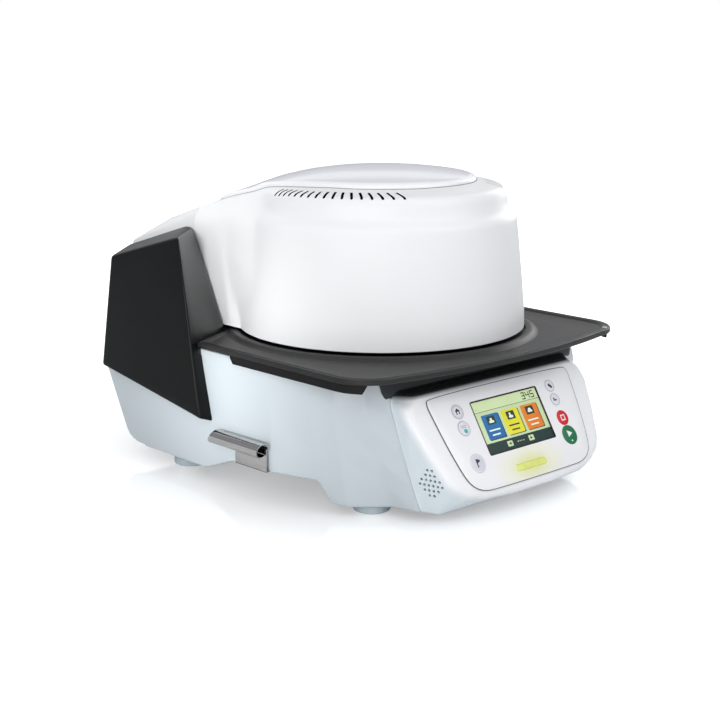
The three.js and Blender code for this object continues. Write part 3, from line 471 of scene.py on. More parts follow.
# Printed and moulded parts of the keys: name, colour, roughness, change of tint, relief and its depth
KEY_SURFACES = {
    "key": ("key_film", (0.66, 0.66, 0.72), 0.38, 0.03, 0.12, 6e-5),
    "key_ring": ("key_ring", (0.40, 0.40, 0.50), 0.4, 0.04, 0.1, 5e-5),
    "key_face": ("key_face", (0.76, 0.76, 0.80), 0.38, 0.02, 0.12, 6e-5),
    "key_dark": ("key_mark_dark", (0.018, 0.02, 0.05), 0.4, 0.05, 0.1, 3e-5),
    "key_light": ("key_mark_white", (0.85, 0.86, 0.86), 0.4, 0.02, 0.1, 3e-5),
    "red": ("key_red", (0.66, 0.004, 0.012), 0.34, 0.05, 0.12, 6e-5),
    "green": ("key_green", (0.003, 0.155, 0.06), 0.34, 0.05, 0.12, 6e-5),
    "teal": ("key_teal", (0.03, 0.42, 0.38), 0.34, 0.05, 0.12, 6e-5),
}
# Lit surfaces: name, colour, light, scale of the patches and the patches' own colour
LIT = {
    "lens": ("light_lens", (0.56, 0.60, 0.13), 0.22, 60, (0.66, 0.70, 0.20)),
    "lcd": ("lcd_pale_green", (0.52, 0.63, 0.36), 0.25, 20),
    "lcd_top": ("lcd_top_bar", (0.58, 0.70, 0.40), 0.25, 20),
    "lcd_dark": ("lcd_dark_green", (0.004, 0.03, 0.026), 0.1, 20),
    "lcd_blue": ("lcd_blue", (0.004, 0.20, 0.38), 0.15, 30, (0.004, 0.07, 0.40)),
    "lcd_yellow": ("lcd_yellow", (0.64, 0.64, 0.012), 0.2, 30, (0.76, 0.70, 0.03)),
    "lcd_orange": ("lcd_orange", (0.74, 0.15, 0.008), 0.15, 30, (0.82, 0.32, 0.03)),
    "lcd_icon": ("lcd_icon", (0.006, 0.035, 0.02), 0.1, 20),
    "lcd_ink": ("lcd_ink", (0.008, 0.02, 0.012), 0.05, 20),
    "lcd_white": ("lcd_white", (0.72, 0.80, 0.66), 0.3, 20),
}
mats = {}


def build_materials():
    for key, (*values, more) in SURFACES.items():
        mats[key] = surface(*values, **more)
    for key, (name, color, rough, vary, relief, depth) in KEY_SURFACES.items():
        mats[key] = surface(name, color, rough, vary, *KEY_GRAIN, relief, depth)
    for key, values in LIT.items():
        mats[key] = glowing(*values)
    mats["film"] = overlay_film()
    mats["panel"] = panel_enamel("panel_enamel", (0.87, 0.88, 0.90), 0.28, 0.005, 7, 1500, 0.03, 2e-5,
                                 coat=0.25, spread=0.02)


# The sloping face: u runs right, w up the slope and d out of it
def face_point(u, w, d):
    c, s = cos(PANEL_TILT), sin(PANEL_TILT)
    return (u, PANEL_Y + w * c - d * s, PANEL_Z + w * s + d * c)


def on_face(points):
    return [face_point(*p) for p in points]


def finish(obj, body, material, nodes=(), degrees=32):
    obj.data.materials.clear()
    obj.data.materials.append(mats[material])
    sharpen(obj, degrees)
    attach(obj, body)
    if nodes:
        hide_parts(*nodes)
    return obj


# Gives the chosen faces of a piece a second material
def second_material(obj, material, chosen):
    obj.data.materials.append(mats[material])
    for face in obj.data.polygons:
        if chosen(face):
            face.material_index = 1


build_materials()

# Head: drum, arm and rear cover as one soft form, then split at the seam
DRUM = [(145.2, 150.6), (144.6, 167.4), (143.3, 182), (142.3, 195), (141, 207), (139.8, 219), (138.6, 231),
        (137.3, 243), (135.9, 254.4), (134.9, 260.4), (131.9, 264.8), (128.4, 267.6), (126.7, 271.5),
        (125.4, 277), (124, 283.4), (121.6, 288.0), (117, 290.5), (108, 292.2), (98, 294.2), (90, 296.6),
        (78, 299.2), (60, 301.7), (30, 303.7), (0, DOME_TOP)]


def drum_profile(inset=0.0, foot=140.0):
    fine = spline(DRUM, 5)
    fine = [(max(r - inset, 0) if r > 0 else 0, z - inset) for r, z in fine]
    fine = [p for p in fine if p[0] > 0.5] + [(0, fine[-1][1])]
    return [(0, foot), (DRUM_RADIUS - inset - 0.2, foot)] + fine


# Rows of a section across the arm: Y, then heights at the side edge, 0.93, 0.8, 0.55 and the middle
ARM_FRONT = (40, 271.9, 283.5, 290.6, 295.2, 300.3)
ARM_SHOULDER = (75, 270.0, 279.6, 285.2, 291.6, 298.6)
ARM_BACK = (111, 267.0, 272.8, 276.8, 282.8, 292.0)
ARM_SEAM = (SEAM_Y, 262.0, 264.2, 266.0, 273.0, 283.9)
COVER_MID = (205, 240.0, 244.6, 248.0, 253.0, 258.0)
COVER_END = (258, 217.0, 220.0, 222.2, 225.5, 228.9)
COVER_FOOT = (246, 217.0, 220.0, 222.2, 223.0, 223.0)


def section(row, bottom, inset=0.0, back=0.0):
    y, side, brow, outer, inner, crown = row
    half = ARM_HALF - inset
    edge = (side - bottom) * 0.06
    right = [(half, side - edge * 3 - inset), (half, side - edge - inset), (half - edge, side - inset),
             (half * 0.93, brow - inset), (half * 0.8, outer - inset), (half * 0.55, inner - inset),
             (0, crown - inset)]
    top = [(x, y - back, z) for x, z in chaikin(mirrored(right))]
    return [(half, y - back, bottom)] + top + [(-half, y - back, bottom)]


def head_parts(inset=0.0, foot=140.0):
    drum = lathe(drum_profile(inset, foot), 180)
    arm_rows = (ARM_FRONT, ARM_SHOULDER, ARM_BACK, ARM_SEAM)
    arm = hull([p for row in arm_rows for p in section(row, foot, inset)])
    cover = hull(section(ARM_SEAM, foot, inset) + section(COVER_MID, foot, inset, back=inset)
                 + section(COVER_END, 211, inset, back=inset) + section(COVER_FOOT, foot, inset, back=inset))
    return [drum, arm, cover] + [shoulder_fill(side, inset, foot) for side in (-1, 1)]


# Fillet where the drum runs into the arm: drum radius, arm half width, height and share grown
def shoulder_fill(side, inset, foot):
    rows = ((145, 125.6, foot, 0), (144.6, 125.6, 160, 0.08), (143.6, 125.8, 178, 0.5),
            (142.4, 125.8, 200, 0.9), (138.2, 125.8, 230, 1), (134.3, 125.8, 256, 1), (129.5, 124.5, 264, 1),
            (124, 121, 269, 1))
    rings = []
    for r, half, z, share in rows:
        r, half = r - inset - 0.3, half - inset - 0.2
        angles = [radians(mix(low, high, share)) for low, high in ((27, 10), (28.5, 15))]
        on_drum = [(r * cos(a), r * sin(a)) for a in angles]
        ring = [(100, 10), *on_drum, (half, mix(72, 94, share)), (100, 94)]
        rings.append([(side * x, y, z - (inset if z > 200 else 0)) for x, y in ring])
    return loft(rings, "shoulder_fill")


# Where the soft form is relaxed further: round the shoulders
def blend_area(x, y, z):
    side = min(1, max(0, (abs(x) - 84) / 16))
    along = min(1, max(0, (y - 2) / 24)) * min(1, max(0, (132 - y) / 16))
    up = min(1, max(0, (z - 156) / 20))
    return side * along * up


head_form = soften(join("head_form", head_parts()), VOXEL, 4, blend_area, 60)
cavity = soften(join("cavity", head_parts(HOOD_WALL, 132.0)), 2 * VOXEL, 1)
head_tree = BVHTree.FromObject(head_form, bpy.context.evaluated_depsgraph_get())

hood = copy_of(head_form, "hood_shell")
boolean(hood, box(-WIDE, WIDE, SEAM_Y - 0.15, FAR, 0, FAR))
boolean(hood, box(-WIDE, WIDE, -WIDE, FAR, 0, HOOD_BOTTOM))
boolean(hood, cavity, keep=True)
cover = copy_of(head_form, "rear_cover_shell")
boolean(cover, box(-WIDE, WIDE, -WIDE, SEAM_Y + 0.25, 0, FAR))
boolean(cover, box(-WIDE, WIDE, -WIDE, FAR, 0, 150))
boolean(cover, cavity)

# Vent slots: seventeen a side, fanning out less towards the back
SLOTS = 17
SLOT_HALF = 1.3
SLOT_END_HALF = 0.9
SLOT_DEPTH = (262, 320)


def slot_boxes():
    slots = []
    for i in range(SLOTS):
        for sign in (-1, 1):
            a = radians(55 - 5 * i + 0.052 * i * i)
            lean = a + radians(19 - 0.1 * i * i)
            middle = (112.6 + 0.02 * i * i) * np.array([sign * cos(a), -sin(a)])
            along = np.array([sign * cos(lean), -sin(lean)])
            across = np.array([-along[1], along[0]])
            reach = 9.4 - 0.015 * i * i
            ends = [(-reach, SLOT_END_HALF), (-reach + 1.2, SLOT_HALF), (reach - 2.2, SLOT_HALF),
                    (reach - 1, SLOT_END_HALF)]
            ends += [(r, -w) for r, w in reversed(ends)]
            slots.append(prism([middle + along * r + across * w for r, w in ends], *SLOT_DEPTH))
    return join("slots", slots)


boolean(hood, slot_boxes())
finish(hood, "head", "hood", ["furnace_hood"])


# Painted shade: the walls of the left slots are coloured near black for the dark inside the hood
def slot_wall_in_shade(face):
    x, y, z = from_frame(face.center)
    radius = hypot(x, y)
    radial = abs(face.normal.x * x + face.normal.y * y) / radius
    upright = abs(face.normal.z) < 0.5 and (radial < 0.6 or radius < 106)
    return upright and 97 < radius < 124 and z > 262 and y < 45 and x < 0


second_material(hood, "slot_shade", slot_wall_in_shade)
finish(cover, "head", "cover", ["rear_cover"])


def deck_height(x, y):
    p = to_frame([(x, y, FAR)])[0]
    hit = head_tree.ray_cast(Vector(p), Vector((0, 0, -1)))
    return hit[0].z / MM


# Painted shade: a near-black sheet below the vent slots stands in for the dark inside
def vent_liner():
    rings = []
    for k in range(73):
        a = radians(200 + 140 * k / 72)
        spots = [(r * cos(a), r * sin(a)) for r in (98, 104, 110, 116, 120.5)]
        top = [(x, y, deck_height(x, y) - 6.2) for x, y in spots]
        rings.append(top + [(x, y, z - 1.2) for x, y, z in reversed(top)])
    return loft(rings, "vent_liner")


finish(vent_liner(), "head", "slot_shade")


# Cap: a tongue-shaped dome lying on the deck; the first list is its front, as shares
CAP_FRONT = [(0, 0), (0.233, 0.022), (0.417, 0.074), (0.621, 0.186), (0.796, 0.349), (0.913, 0.572),
             (0.971, 0.777), (1, 1)]
CAP_HALF = 103
CAP_REACH = 112
CAP_RIM = 6
CAP_CENTRE = np.array((0, 24))


def cap_outline():
    front = [(x * CAP_HALF, mix(-94.5, 40, y)) for x, y in CAP_FRONT]
    curve = spline([(-x, y) for x, y in reversed(front[1:])] + front, 8)
    rear = [(99, 133), (97.6, 137.2), (93, 140), (80, 141.2), (45, 141.8)]
    side = spline([front[-1], (101.6, 88), (99, 133)], 8)[1:-1]
    return curve + side + rear + [(0, 142)] + [(-x, y) for x, y in reversed(side + rear)]


# Height of the deck, evened out over a disc
def even_height(x, y, reach):
    around = [(cos(radians(a)), sin(radians(a))) for a in range(0, 360, 30)]
    spots = [(x, y)] + [(x + reach * k * cx, y + reach * k * cy) for k in (0.5, 1) for cx, cy in around]
    return sum(deck_height(*q) for q in spots) / len(spots)


def cap_piece():
    outline = np.array(cap_outline(), float)
    rims = [0, 0.15, 0.4, 0.8, 1.4, 2.2, 3.2, 4.6, 6.5, 9.0, 12]
    heights = [0, 0.8, 1.5, 2.1, 2.6, 2.92, 3.12, 3.28, 3.38, 3.44, 3.45]
    shares = [1 - w / CAP_REACH for w in rims] + [0.8, 0.7, 0.6, 0.45, 0.3, 0.15, 0.002]
    heights += [heights[-1]] * (len(shares) - len(heights))
    lines = [CAP_CENTRE + (outline - CAP_CENTRE) * s for s in shares]
    level = [[even_height(*q, min(24, 90 * (1 - s))) for q in line] for line, s in zip(lines, shares)]
    top = [[(*q, z + 0.3 + lift) for q, z in zip(line, row)]
           for line, row, lift in zip(lines, level, heights)]
    bottom = [[(*q, z + 0.25) for q, z in zip(line, row)] for line, row in zip(lines, level)]
    obj = loft(top[::-1] + bottom, "cap_shell", caps=False)
    edit_mesh(obj.data, lambda bm: bmesh.ops.holes_fill(bm, edges=[e for e in bm.edges if e.is_boundary]))
    return obj


def near_rim(face):
    x, y, z = from_frame(face.center)
    return min(hypot(x - u, y - v) for u, v in cap_line) < CAP_RIM


cap_line = cap_outline()
cap = finish(cap_piece(), "head", "cap", ["hood_cap"], 60)
second_material(cap, "cap_rim", near_rim)


# Thin dark seam round the cap
def cap_seam():
    line = np.array(cap_line, float)
    loops = []
    for grow, lift in ((-0.6, 0.0), (-0.6, 0.3), (0.75, 0.3), (0.75, 0.0)):
        ring = CAP_CENTRE + (line - CAP_CENTRE) * (1 + grow / CAP_REACH)
        loops.append([(*q, deck_height(*q) + lift) for q in ring])
    return closed_loft(loops, "cap_seam")


finish(cap_seam(), "head", "seam")
drop(head_form)


# Base and panel housing: one soft form, split by a thin seam
def seam_front(z):
    return mix(-166, -137, (z - LIP) / (DECK - LIP))


def seam_half(z):
    return mix(112, 130, (z - LIP) / (DECK - LIP))


def base_ring(z, inset=0.0):
    share = min(1, (z - LIP) / 100)
    shoulder = max(0, (z - 109) / 27) * 4
    back = mix(207, 264, (z - 28) / 108) - inset
    wide = SIDE_HALF - inset
    crease_half = mix(118, 149, share) - inset - shoulder
    crease_y = mix(-137, -132, share) + inset + shoulder
    rounding = mix(8, 57, max(0, (z - 95.8) / 40.2))
    half = []
    for k in range(7):
        a = radians(15 * k)
        half.append((wide - rounding + rounding * sin(a), back - rounding + rounding * cos(a), z))
    half.append((wide, 18, z))
    for run, low, high in ((0.33, 0.08, 0.04), (0.65, 0.36, 0.26), (0.825, 0.5, 0.53)):
        drawn = mix(low, high, share)
        half.append((mix(wide, crease_half, drawn) - shoulder * run / 2, mix(18, crease_y, run), z))
    half.append((crease_half, crease_y, z))
    half.append((seam_half(z) - inset, seam_front(z) + inset, z))
    return mirrored(half)


FACE = [(0.88, 1), (0.985, 0.89), (1, 0.775), (0.944, 0.508), (0.865, 0.235), (0.815, 0.157), (0.69, 0.074),
        (0.52, 0.025), (0.2, 0)]
FACE_HALF = 126
FACE_LOW = -10.5
FACE_HIGH = 106


def face_outline(inset, depth):
    low, high = FACE_LOW + inset, FACE_HIGH - inset
    half = [(u * (FACE_HALF - inset), mix(low, high, w), depth) for u, w in FACE]
    return on_face(mirrored(half))


def panel_hull(inset=0.0, back=14.0):
    rear = []
    for z in (LIP + inset, (LIP + PANEL_TOP) / 2, PANEL_TOP - inset):
        half = seam_half(z) - inset
        rear += [(half, seam_front(z) + back, z), (-half, seam_front(z) + back, z)]
    chin = (103 - inset, -181 + inset, LIP + inset)
    return hull(face_outline(inset + 4, -inset) + face_outline(inset, -inset - 4) + rear
                + [chin, (-chin[0], chin[1], chin[2])])


def base_loft(low, high, inset=0.0):
    return loft([base_ring(z, inset) for z in (low, 31, 60, 95.8, 109, 122, high)])


def base_form():
    form = base_loft(LIP, DECK)
    under = [(WIDE, -20), (WIDE, 28), (207, 28), (189.4, 18.25), (163, 15), (67, 15), (25, 31), (-80, 31),
             (-92, LIP), (-92, -20)]
    boolean(form, side_prism(under, -220, 220))
    upstand = box(-127.1, 127.1, 244, 264, 128, 203)
    return join("body_form", [form, panel_hull(), upstand])


def seam_side(front, shift):
    edge = -FAR if front else FAR
    z0, z1 = -60, 300
    outline = [(edge, z0), (seam_front(z0) + shift, z0), (seam_front(z1) + shift, z1), (edge, z1)]
    return side_prism(outline, -260, 260)


def pedestal_hole(low, high):
    return lathe([(0, low), (PEDESTAL_HOLE, low), (PEDESTAL_HOLE, high), (0, high)])


body_form = soften(base_form(), VOXEL, 5)
base = copy_of(body_form, "base_shell")
boolean(base, seam_side(True, 0))
boolean(base, base_loft(-20, 133, 3))
head_bay = box(-127.4, 127.4, 107, 256.2, 120, 300)
boolean(base, head_bay)
rear_bay = box(-112, 112, 205, 300, 36, 90)
boolean(base, rear_bay)
boolean(base, pedestal_hole(120, 145))
finish(base, "base", "base", ["base_housing"])

housing = copy_of(body_form, "panel_shell")
boolean(housing, seam_side(False, -0.45))
boolean(housing, panel_hull(2.5, 12))


# Shapes on the sloping face
def rounded_rect(half_u, half_w, centre_w, corner, centre_u=0.0, steps=6):
    points = []
    for su, sw, start in ((1, -1, -90), (1, 1, 0), (-1, 1, 90), (-1, -1, 180)):
        for k in range(steps + 1):
            a = radians(start + 90 * k / steps)
            points.append((centre_u + su * (half_u - corner) + corner * cos(a),
                           centre_w + sw * (half_w - corner) + corner * sin(a)))
    return points


def unit(vectors):
    return vectors / np.maximum(np.linalg.norm(vectors, axis=1, keepdims=True), 1e-9)


# An outline moved inwards by a width
def offset(outline, width):
    p = np.array(outline, float)
    ahead, behind = unit(np.roll(p, -1, 0) - p), unit(p - np.roll(p, 1, 0))
    normal = ahead + behind
    normal = unit(np.stack([-normal[:, 1], normal[:, 0]], 1))
    turn = np.maximum(np.sum(normal * np.stack([-ahead[:, 1], ahead[:, 0]], 1), 1), 0.5)
    area = np.sum(p[:, 0] * np.roll(p[:, 1], -1) - np.roll(p[:, 0], -1) * p[:, 1])
    return [tuple(q) for q in p + normal * (width / turn)[:, None] * (1 if area > 0 else -1)]


def face_plate(outline, d0, d1, name, edge=0.0):
    rings = [[(u, w, d0) for u, w in outline], [(u, w, d1 - edge) for u, w in outline]]
    if edge:
        rings.append([(u, w, d1 - edge * 0.3) for u, w in offset(outline, edge * 0.3)])
        rings.append([(u, w, d1) for u, w in offset(outline, edge)])
    return loft([on_face(r) for r in rings], name)


def face_ring(outline, width, d0, d1, name):
    inner = offset(outline, width)
    loops = ((outline, d0), (outline, d1), (inner, d1), (inner, d0))
    return closed_loft([on_face([(u, w, d) for u, w in line]) for line, d in loops], name)


def face_turned(u, w, profile, name):
    return loft([on_face([(*q, d) for q in circle(u, w, r, 56)]) for r, d in profile], name)


# Keys: place across and up the face, and radius
KEYS = {
    "home": (-66.6, 76.4, 7.3), "mode": (-66.6, 59.8, 7.5), "program": (-66.6, 25.2, 9.2),
    "tool": (66.6, 78.8, 6.3), "table": (66.6, 64.2, 6.3), "stop": (66.6, 44.9, 7.7),
    "start": (66.6, 26.8, 9.9),
}
SCREEN_W = 55.4
BEZEL_HALF_U = 47.4
BEZEL_HALF_W = 27
LIGHT_HALF_U = 21
LIGHT_HALF_W = 3.35
LIGHT_CORNER = 2.4
FILM = [(0.95, 1), (1, 0.95), (0.985, 0.8), (0.95, 0.52), (0.9, 0.26), (0.86, 0.13), (0.8, 0.06),
        (0.72, 0.02), (0.6, 0)]
FILM_TOP = 1.1
FACE_DEPTH = (-9, 6)
film_line = chaikin(mirrored([(u * 100, mix(-2, 95.3, w)) for u, w in FILM]), 3, closed=True)


def face_cutter(grow):
    outlines = [rounded_rect(BEZEL_HALF_U + grow, BEZEL_HALF_W + grow, SCREEN_W, 2),
                rounded_rect(LIGHT_HALF_U + grow, LIGHT_HALF_W + grow, LIGHT_W, LIGHT_CORNER)]
    outlines += [circle(u, w, r + grow) for u, w, r in KEYS.values()]
    return join("cutter", [face_plate(line, *FACE_DEPTH, "cut") for line in outlines])


HOUSING_CLEARANCE = 0.35
FILM_CLEARANCE = 0.12
boolean(housing, face_cutter(HOUSING_CLEARANCE))

# Speaker grille: rows of round holes on the housing's left corner face
GRILLE = [2, 3, 5, 6, 4, 2]
GRILLE_CENTRE = np.array((-113.5, -180.8, 41.5))
GRILLE_TURN = Matrix.Rotation(radians(15.5), 3, "Z") @ Matrix.Rotation(radians(-9.3), 3, "Y")
ROW_PITCH = 5.2
HOLE_PITCH = 4.7
HOLE_RADIUS = 1.4


def grille_cutter():
    parts = []
    for row, count in enumerate(GRILLE):
        z = (2.5 - row) * ROW_PITCH
        for k in range(count):
            hole = circle((k - (count - 1) / 2) * HOLE_PITCH, z, HOLE_RADIUS, 20)
            ends = [[GRILLE_TURN @ Vector((x, *q)) for q in hole] for x in (-8, 7)]
            parts.append(loft([[GRILLE_CENTRE + np.array(q) for q in end] for end in ends], "hole"))
    return join("holes", parts)


boolean(housing, grille_cutter())
finish(housing, "base", "panel", ["panel_housing"])
drop(body_form)

film = face_plate(film_line, 0.08, FILM_TOP, "overlay_film", 0.25)
boolean(film, face_cutter(FILM_CLEARANCE))
finish(film, "base", "film", ["panel_overlay"])
ink_line = face_ring(offset(film_line, -0.55), 0.6, 0.1, FILM_TOP - 0.15, "overlay_outline")
finish(ink_line, "base", "line")

# Display: a black frame, a recessed lit screen and its picture
bezel_line = rounded_rect(BEZEL_HALF_U, BEZEL_HALF_W, SCREEN_W, 1.2)
bezel = face_ring(bezel_line, 1.3, -4, FILM_TOP - 0.05, "display_bezel")
finish(bezel, "base", "bezel", ["display_screen"])
screen_back = face_plate(rounded_rect(46.5, 26.1, SCREEN_W, 0.8), -3, 0.0, "display_back")
finish(screen_back, "base", "lcd")
SCREEN_HALF_U = 46.0
SCREEN_HALF_W = 25.6

# Heights of the picture's layers above the face
SHADE = 0.05
BAND = 0.06
CARD = 0.08
SIGN = 0.10
ICON = 0.11
ICON_SIGN = 0.13


# Shares of the screen's width and height, to places on the face
def at_screen(s, t):
    return (mix(-SCREEN_HALF_U, SCREEN_HALF_U, s), SCREEN_W + mix(-SCREEN_HALF_W, SCREEN_HALF_W, t))


def screen_piece(outline, level, name, material):
    return finish(face_plate(outline, level - 0.04, level, name), "base", material)


def screen_rect(s0, s1, t0, t1, level, name, material, corner=0.8):
    (u0, w0), (u1, w1) = at_screen(s0, t0), at_screen(s1, t1)
    outline = rounded_rect((u1 - u0) / 2, (w1 - w0) / 2, (w0 + w1) / 2, corner, (u0 + u1) / 2, 3)
    return screen_piece(outline, level, name, material)


def screen_shape(points, level, name, material):
    return screen_piece([at_screen(s, t) for s, t in points], level, name, material)


screen_rect(0, 1, 0.80, 1, BAND, "screen_top_bar", "lcd_top", 0.1)
screen_rect(0, 1, 0.795, 0.803, CARD, "screen_rule", "lcd_dark", 0.05)
screen_rect(0, 1, 0, 0.195, BAND, "screen_bottom_bar", "lcd_dark", 0.1)
for k, (tone, s0) in enumerate((("blue", 0.075), ("yellow", 0.375), ("orange", 0.675))):
    s1 = s0 + 0.25
    screen_rect(s0 + 0.008, s1 + 0.012, 0.235, 0.715, SHADE, "card_shadow_%d" % k, "lcd_dark")
    screen_rect(s0, s1, 0.25, 0.73, CARD, "card_" + tone, "lcd_" + tone, 1.2)
    screen_rect(s0 + 0.065, s1 - 0.065, 0.53, 0.69, ICON, "card_icon_%d" % k, "lcd_icon", 0.6)
    ink = "lcd_ink" if tone == "yellow" else "lcd_white"
    for line, reach in enumerate((0.16, 0.12)):
        middle, t = (s0 + s1) / 2, 0.42 - line * 0.09
        screen_rect(middle - reach / 2, middle + reach / 2, t - 0.014, t + 0.014, SIGN,
                    "card_line_%d_%d" % (k, line), ink, 0.3)
ICONS = {
    "chamber": [(0.165, 0.56), (0.235, 0.56), (0.235, 0.60), (0.215, 0.60), (0.215, 0.65), (0.185, 0.65),
                (0.185, 0.60), (0.165, 0.60)],
    "block": [(0.47, 0.56), (0.53, 0.56), (0.53, 0.60), (0.505, 0.61), (0.505, 0.66), (0.48, 0.66),
              (0.48, 0.61), (0.47, 0.60)],
    "dish": [(0.765, 0.57), (0.835, 0.57), (0.835, 0.59), (0.815, 0.65), (0.785, 0.65), (0.765, 0.59)],
}
for sign_name, points in ICONS.items():
    screen_shape(points, ICON_SIGN, "icon_" + sign_name, "lcd_white")
for k, (s, way) in enumerate(((0.335, -1), (0.665, 1))):
    screen_rect(s - 0.04, s + 0.04, 0.045, 0.15, CARD, "arrow_field_%d" % k, "lcd", 0.8)
    arrow = [(s - 0.018 * way, 0.07), (s + 0.02 * way, 0.098), (s - 0.018 * way, 0.125)]
    screen_shape(arrow[::way], SIGN, "arrow_%d" % k, "lcd_ink")
for k in range(4):
    dot = circle(*at_screen(0.455 + 0.03 * k, 0.098), 0.6, 16)
    screen_piece(dot, CARD, "page_dot_%d" % k, "lcd_white" if k == 0 else "lcd")

# The readout's numerals, made of straight segments
DIGITS = {"3": "abcdg", "4": "bcfg", "5": "acdfg"}
SEGMENTS = {"a": ((0, 2), (1, 2)), "b": ((1, 2), (1, 1)), "c": ((1, 1), (1, 0)), "d": ((0, 0), (1, 0)),
            "f": ((0, 2), (0, 1)), "g": ((0, 1), (1, 1))}


def readout(text, s, t, width, height, level):
    for k, sign in enumerate(text):
        for part in DIGITS[sign]:
            a, b = (np.array(at_screen(s + k * width * 1.6 + x * width, t + y * height / 2))
                    for x, y in SEGMENTS[part])
            along = (b - a) / np.linalg.norm(b - a)
            side = np.array((-along[1], along[0])) * 0.5
            a, b = a - along * 0.3, b + along * 0.3
            outline = [tuple(q) for q in (a - side, b - side, b + side, a + side)]
            screen_piece(outline, level, "digit_%d_%s" % (k, part), "lcd_ink")


readout("345", 0.765, 0.84, 0.043, 0.12, SIGN)
battery_u, battery_w = at_screen(0.045, 0.86)
screen_piece(rounded_rect(2.2, 1.0, battery_w, 0.4, battery_u), SIGN, "battery_mark", "lcd")

# Lit bar
bar = rounded_rect(LIGHT_HALF_U, LIGHT_HALF_W, LIGHT_W, LIGHT_CORNER)
dome = ((0, -4), (0, 0.7), (0.15, 1.0), (0.6, 1.25), (1.3, 1.4), (2.2, 1.45))
lens = loft([on_face([(u, w, d) for u, w in offset(bar, i)]) for i, d in dome], "light_lens")
finish(lens, "base", "lens", ["status_light"])

# Keys: a low dome and a plain sign on each, and a printed ring on all but stop and start
KEY_TOP = 1.55


def key_body(name, material):
    u, w, r = KEYS[name]
    profile = [(r, -4.8), (r, 0.9), (r - 0.15, 1.2), (r - 0.5, 1.4), (r - 1.1, 1.5), (r * 0.5, KEY_TOP),
               (0.05, KEY_TOP)]
    piece = face_turned(u, w, profile, "cap_" + name)
    return finish(piece, "key_" + name, material, ["key_" + name], 50)


def key_mark(name, tag, material, outline, lift=0.03):
    u, w, r = KEYS[name]
    level = KEY_TOP + lift
    sign = [(u + r * x, w + r * y) for x, y in outline]
    piece = face_plate(sign, level - 0.1, level, "mark_%s_%s" % (name, tag))
    return finish(piece, "key_" + name, material)


def key_ring(name, share, width, material, tag="ring"):
    u, w, r = KEYS[name]
    piece = face_ring(circle(u, w, r * share), width, 1.2, KEY_TOP + 0.02, "mark_%s_%s" % (name, tag))
    return finish(piece, "key_" + name, material)


def block(x0, x1, y0, y1):
    return [(x0, y0), (x1, y0), (x1, y1), (x0, y1)]


for key_name in ("home", "mode", "tool", "table"):
    key_body(key_name, "key_face")
    key_ring(key_name, 0.97, 0.45, "key_ring")
key_body("program", "key")
key_ring("program", 0.93, 0.7, "key_face")
key_body("stop", "red")
key_body("start", "green")
key_ring("home", 0.80, 0.4, "key_ring", "inner")
key_mark("home", "house", "key_dark", mirrored([(0, 0.48), (0.46, 0.08), (0.32, 0.08), (0.32, -0.35)])[1:])
key_mark("home", "door", "key_face", block(-0.14, 0.14, -0.35, 0.02), 0.06)
key_mark("mode", "bar_a", "key_ring", block(-0.5, 0.5, 0.28, 0.38))
key_mark("mode", "bar_b", "key_ring", block(-0.4, 0.4, 0.06, 0.16))
key_mark("mode", "dot", "teal", circle(0.12, -0.38, 0.3, 20))
key_mark("program", "bar_a", "key_dark", block(-0.22, -0.06, -0.42, 0.46))
key_mark("program", "pennant", "key_dark", [(-0.06, 0.02), (0.32, 0.16), (0.32, 0.34), (-0.06, 0.46)])
key_mark("tool", "probe", "key_dark", [(-0.42, 0.1), (-0.1, 0.42), (0.5, -0.22), (0.2, -0.5)])
key_mark("table", "step", "key_dark",
         [(-0.42, -0.2), (0.3, -0.2), (0.3, 0.02), (-0.12, 0.02), (-0.12, 0.32), (-0.42, 0.32)])
key_mark("stop", "square", "key_light", block(-0.4, 0.4, -0.4, 0.4))
key_mark("stop", "core", "red", block(-0.24, 0.24, -0.24, 0.24), 0.06)
key_mark("start", "triangle", "key_light", [(-0.26, -0.22), (0.42, 0.14), (-0.26, 0.5)])
key_mark("start", "lamp", "key_light", circle(0, -0.62, 0.09, 16))


# Cooling plate: rolled rim with a groove, flat floor and a round seat under the hood
def plate_outline(inset):
    wide, corner = PLATE_HALF - inset, PLATE_CORNER - inset
    half = []
    for k in range(12):
        t = k / 12
        half.append((t * (wide - corner), PLATE_FRONT - 16.3 * (1 - t * t) + inset))
    for k in range(13):
        a = radians(90 * k / 12)
        half.append((wide - corner + corner * sin(a),
                     PLATE_FRONT + inset + corner - corner * cos(a)))
    half += [(wide, 67 - inset / 2), (128, 93 - inset / 2), (ARM_HALF - inset, 93.3),
             (ARM_HALF - inset, 104 - inset)]
    return half + [(-x, y) for x, y in reversed(half[1:])]


RIM = [(12, 136.3), (12, 138.7), (3.2, 138.7), (0.7, 139.0), (0, 139.8), (0, 143.2), (0.4, 143.9),
       (1.3, 144.3), (2.5, 144.3), (3.1, 143.9), (3.5, 143.5), (4.1, 143.5), (4.5, 143.9), (5.1, 144.25),
       (6.9, 144.3), (8.4, 143.4), (9.6, 142.75), (11.2, PLATE_FLOOR)]
SEAT = [(146.9, 141), (146.9, 145.9), (148.6, 146.3), (152.2, 146.1), (154.6, 145.0), (156.2, 143.5),
        (159.5, 142.6), (160, 141), (146.9, 141)]
EYELET = [(1.5, 144.2), (1.7, 144.75), (2.2, 144.85), (2.7, 144.6), (2.9, 144.2), (1.5, 144.2)]
tray = loft([[(x, y, z) for x, y in plate_outline(i)] for i, z in RIM], "cooling_tray")
seat = lathe(SEAT, 180)
boolean(seat, box(-WIDE, WIDE, 92.8, WIDE, 0, WIDE))
boolean(tray, seat, "UNION")
boolean(tray, pedestal_hole(130, 150))
finish(tray, "base", "plate", ["support_plate"], 28)
eyelet = lathe(EYELET, 32, "tray_eyelet", (160.3, -161.3))
finish(eyelet, "base", "steel")

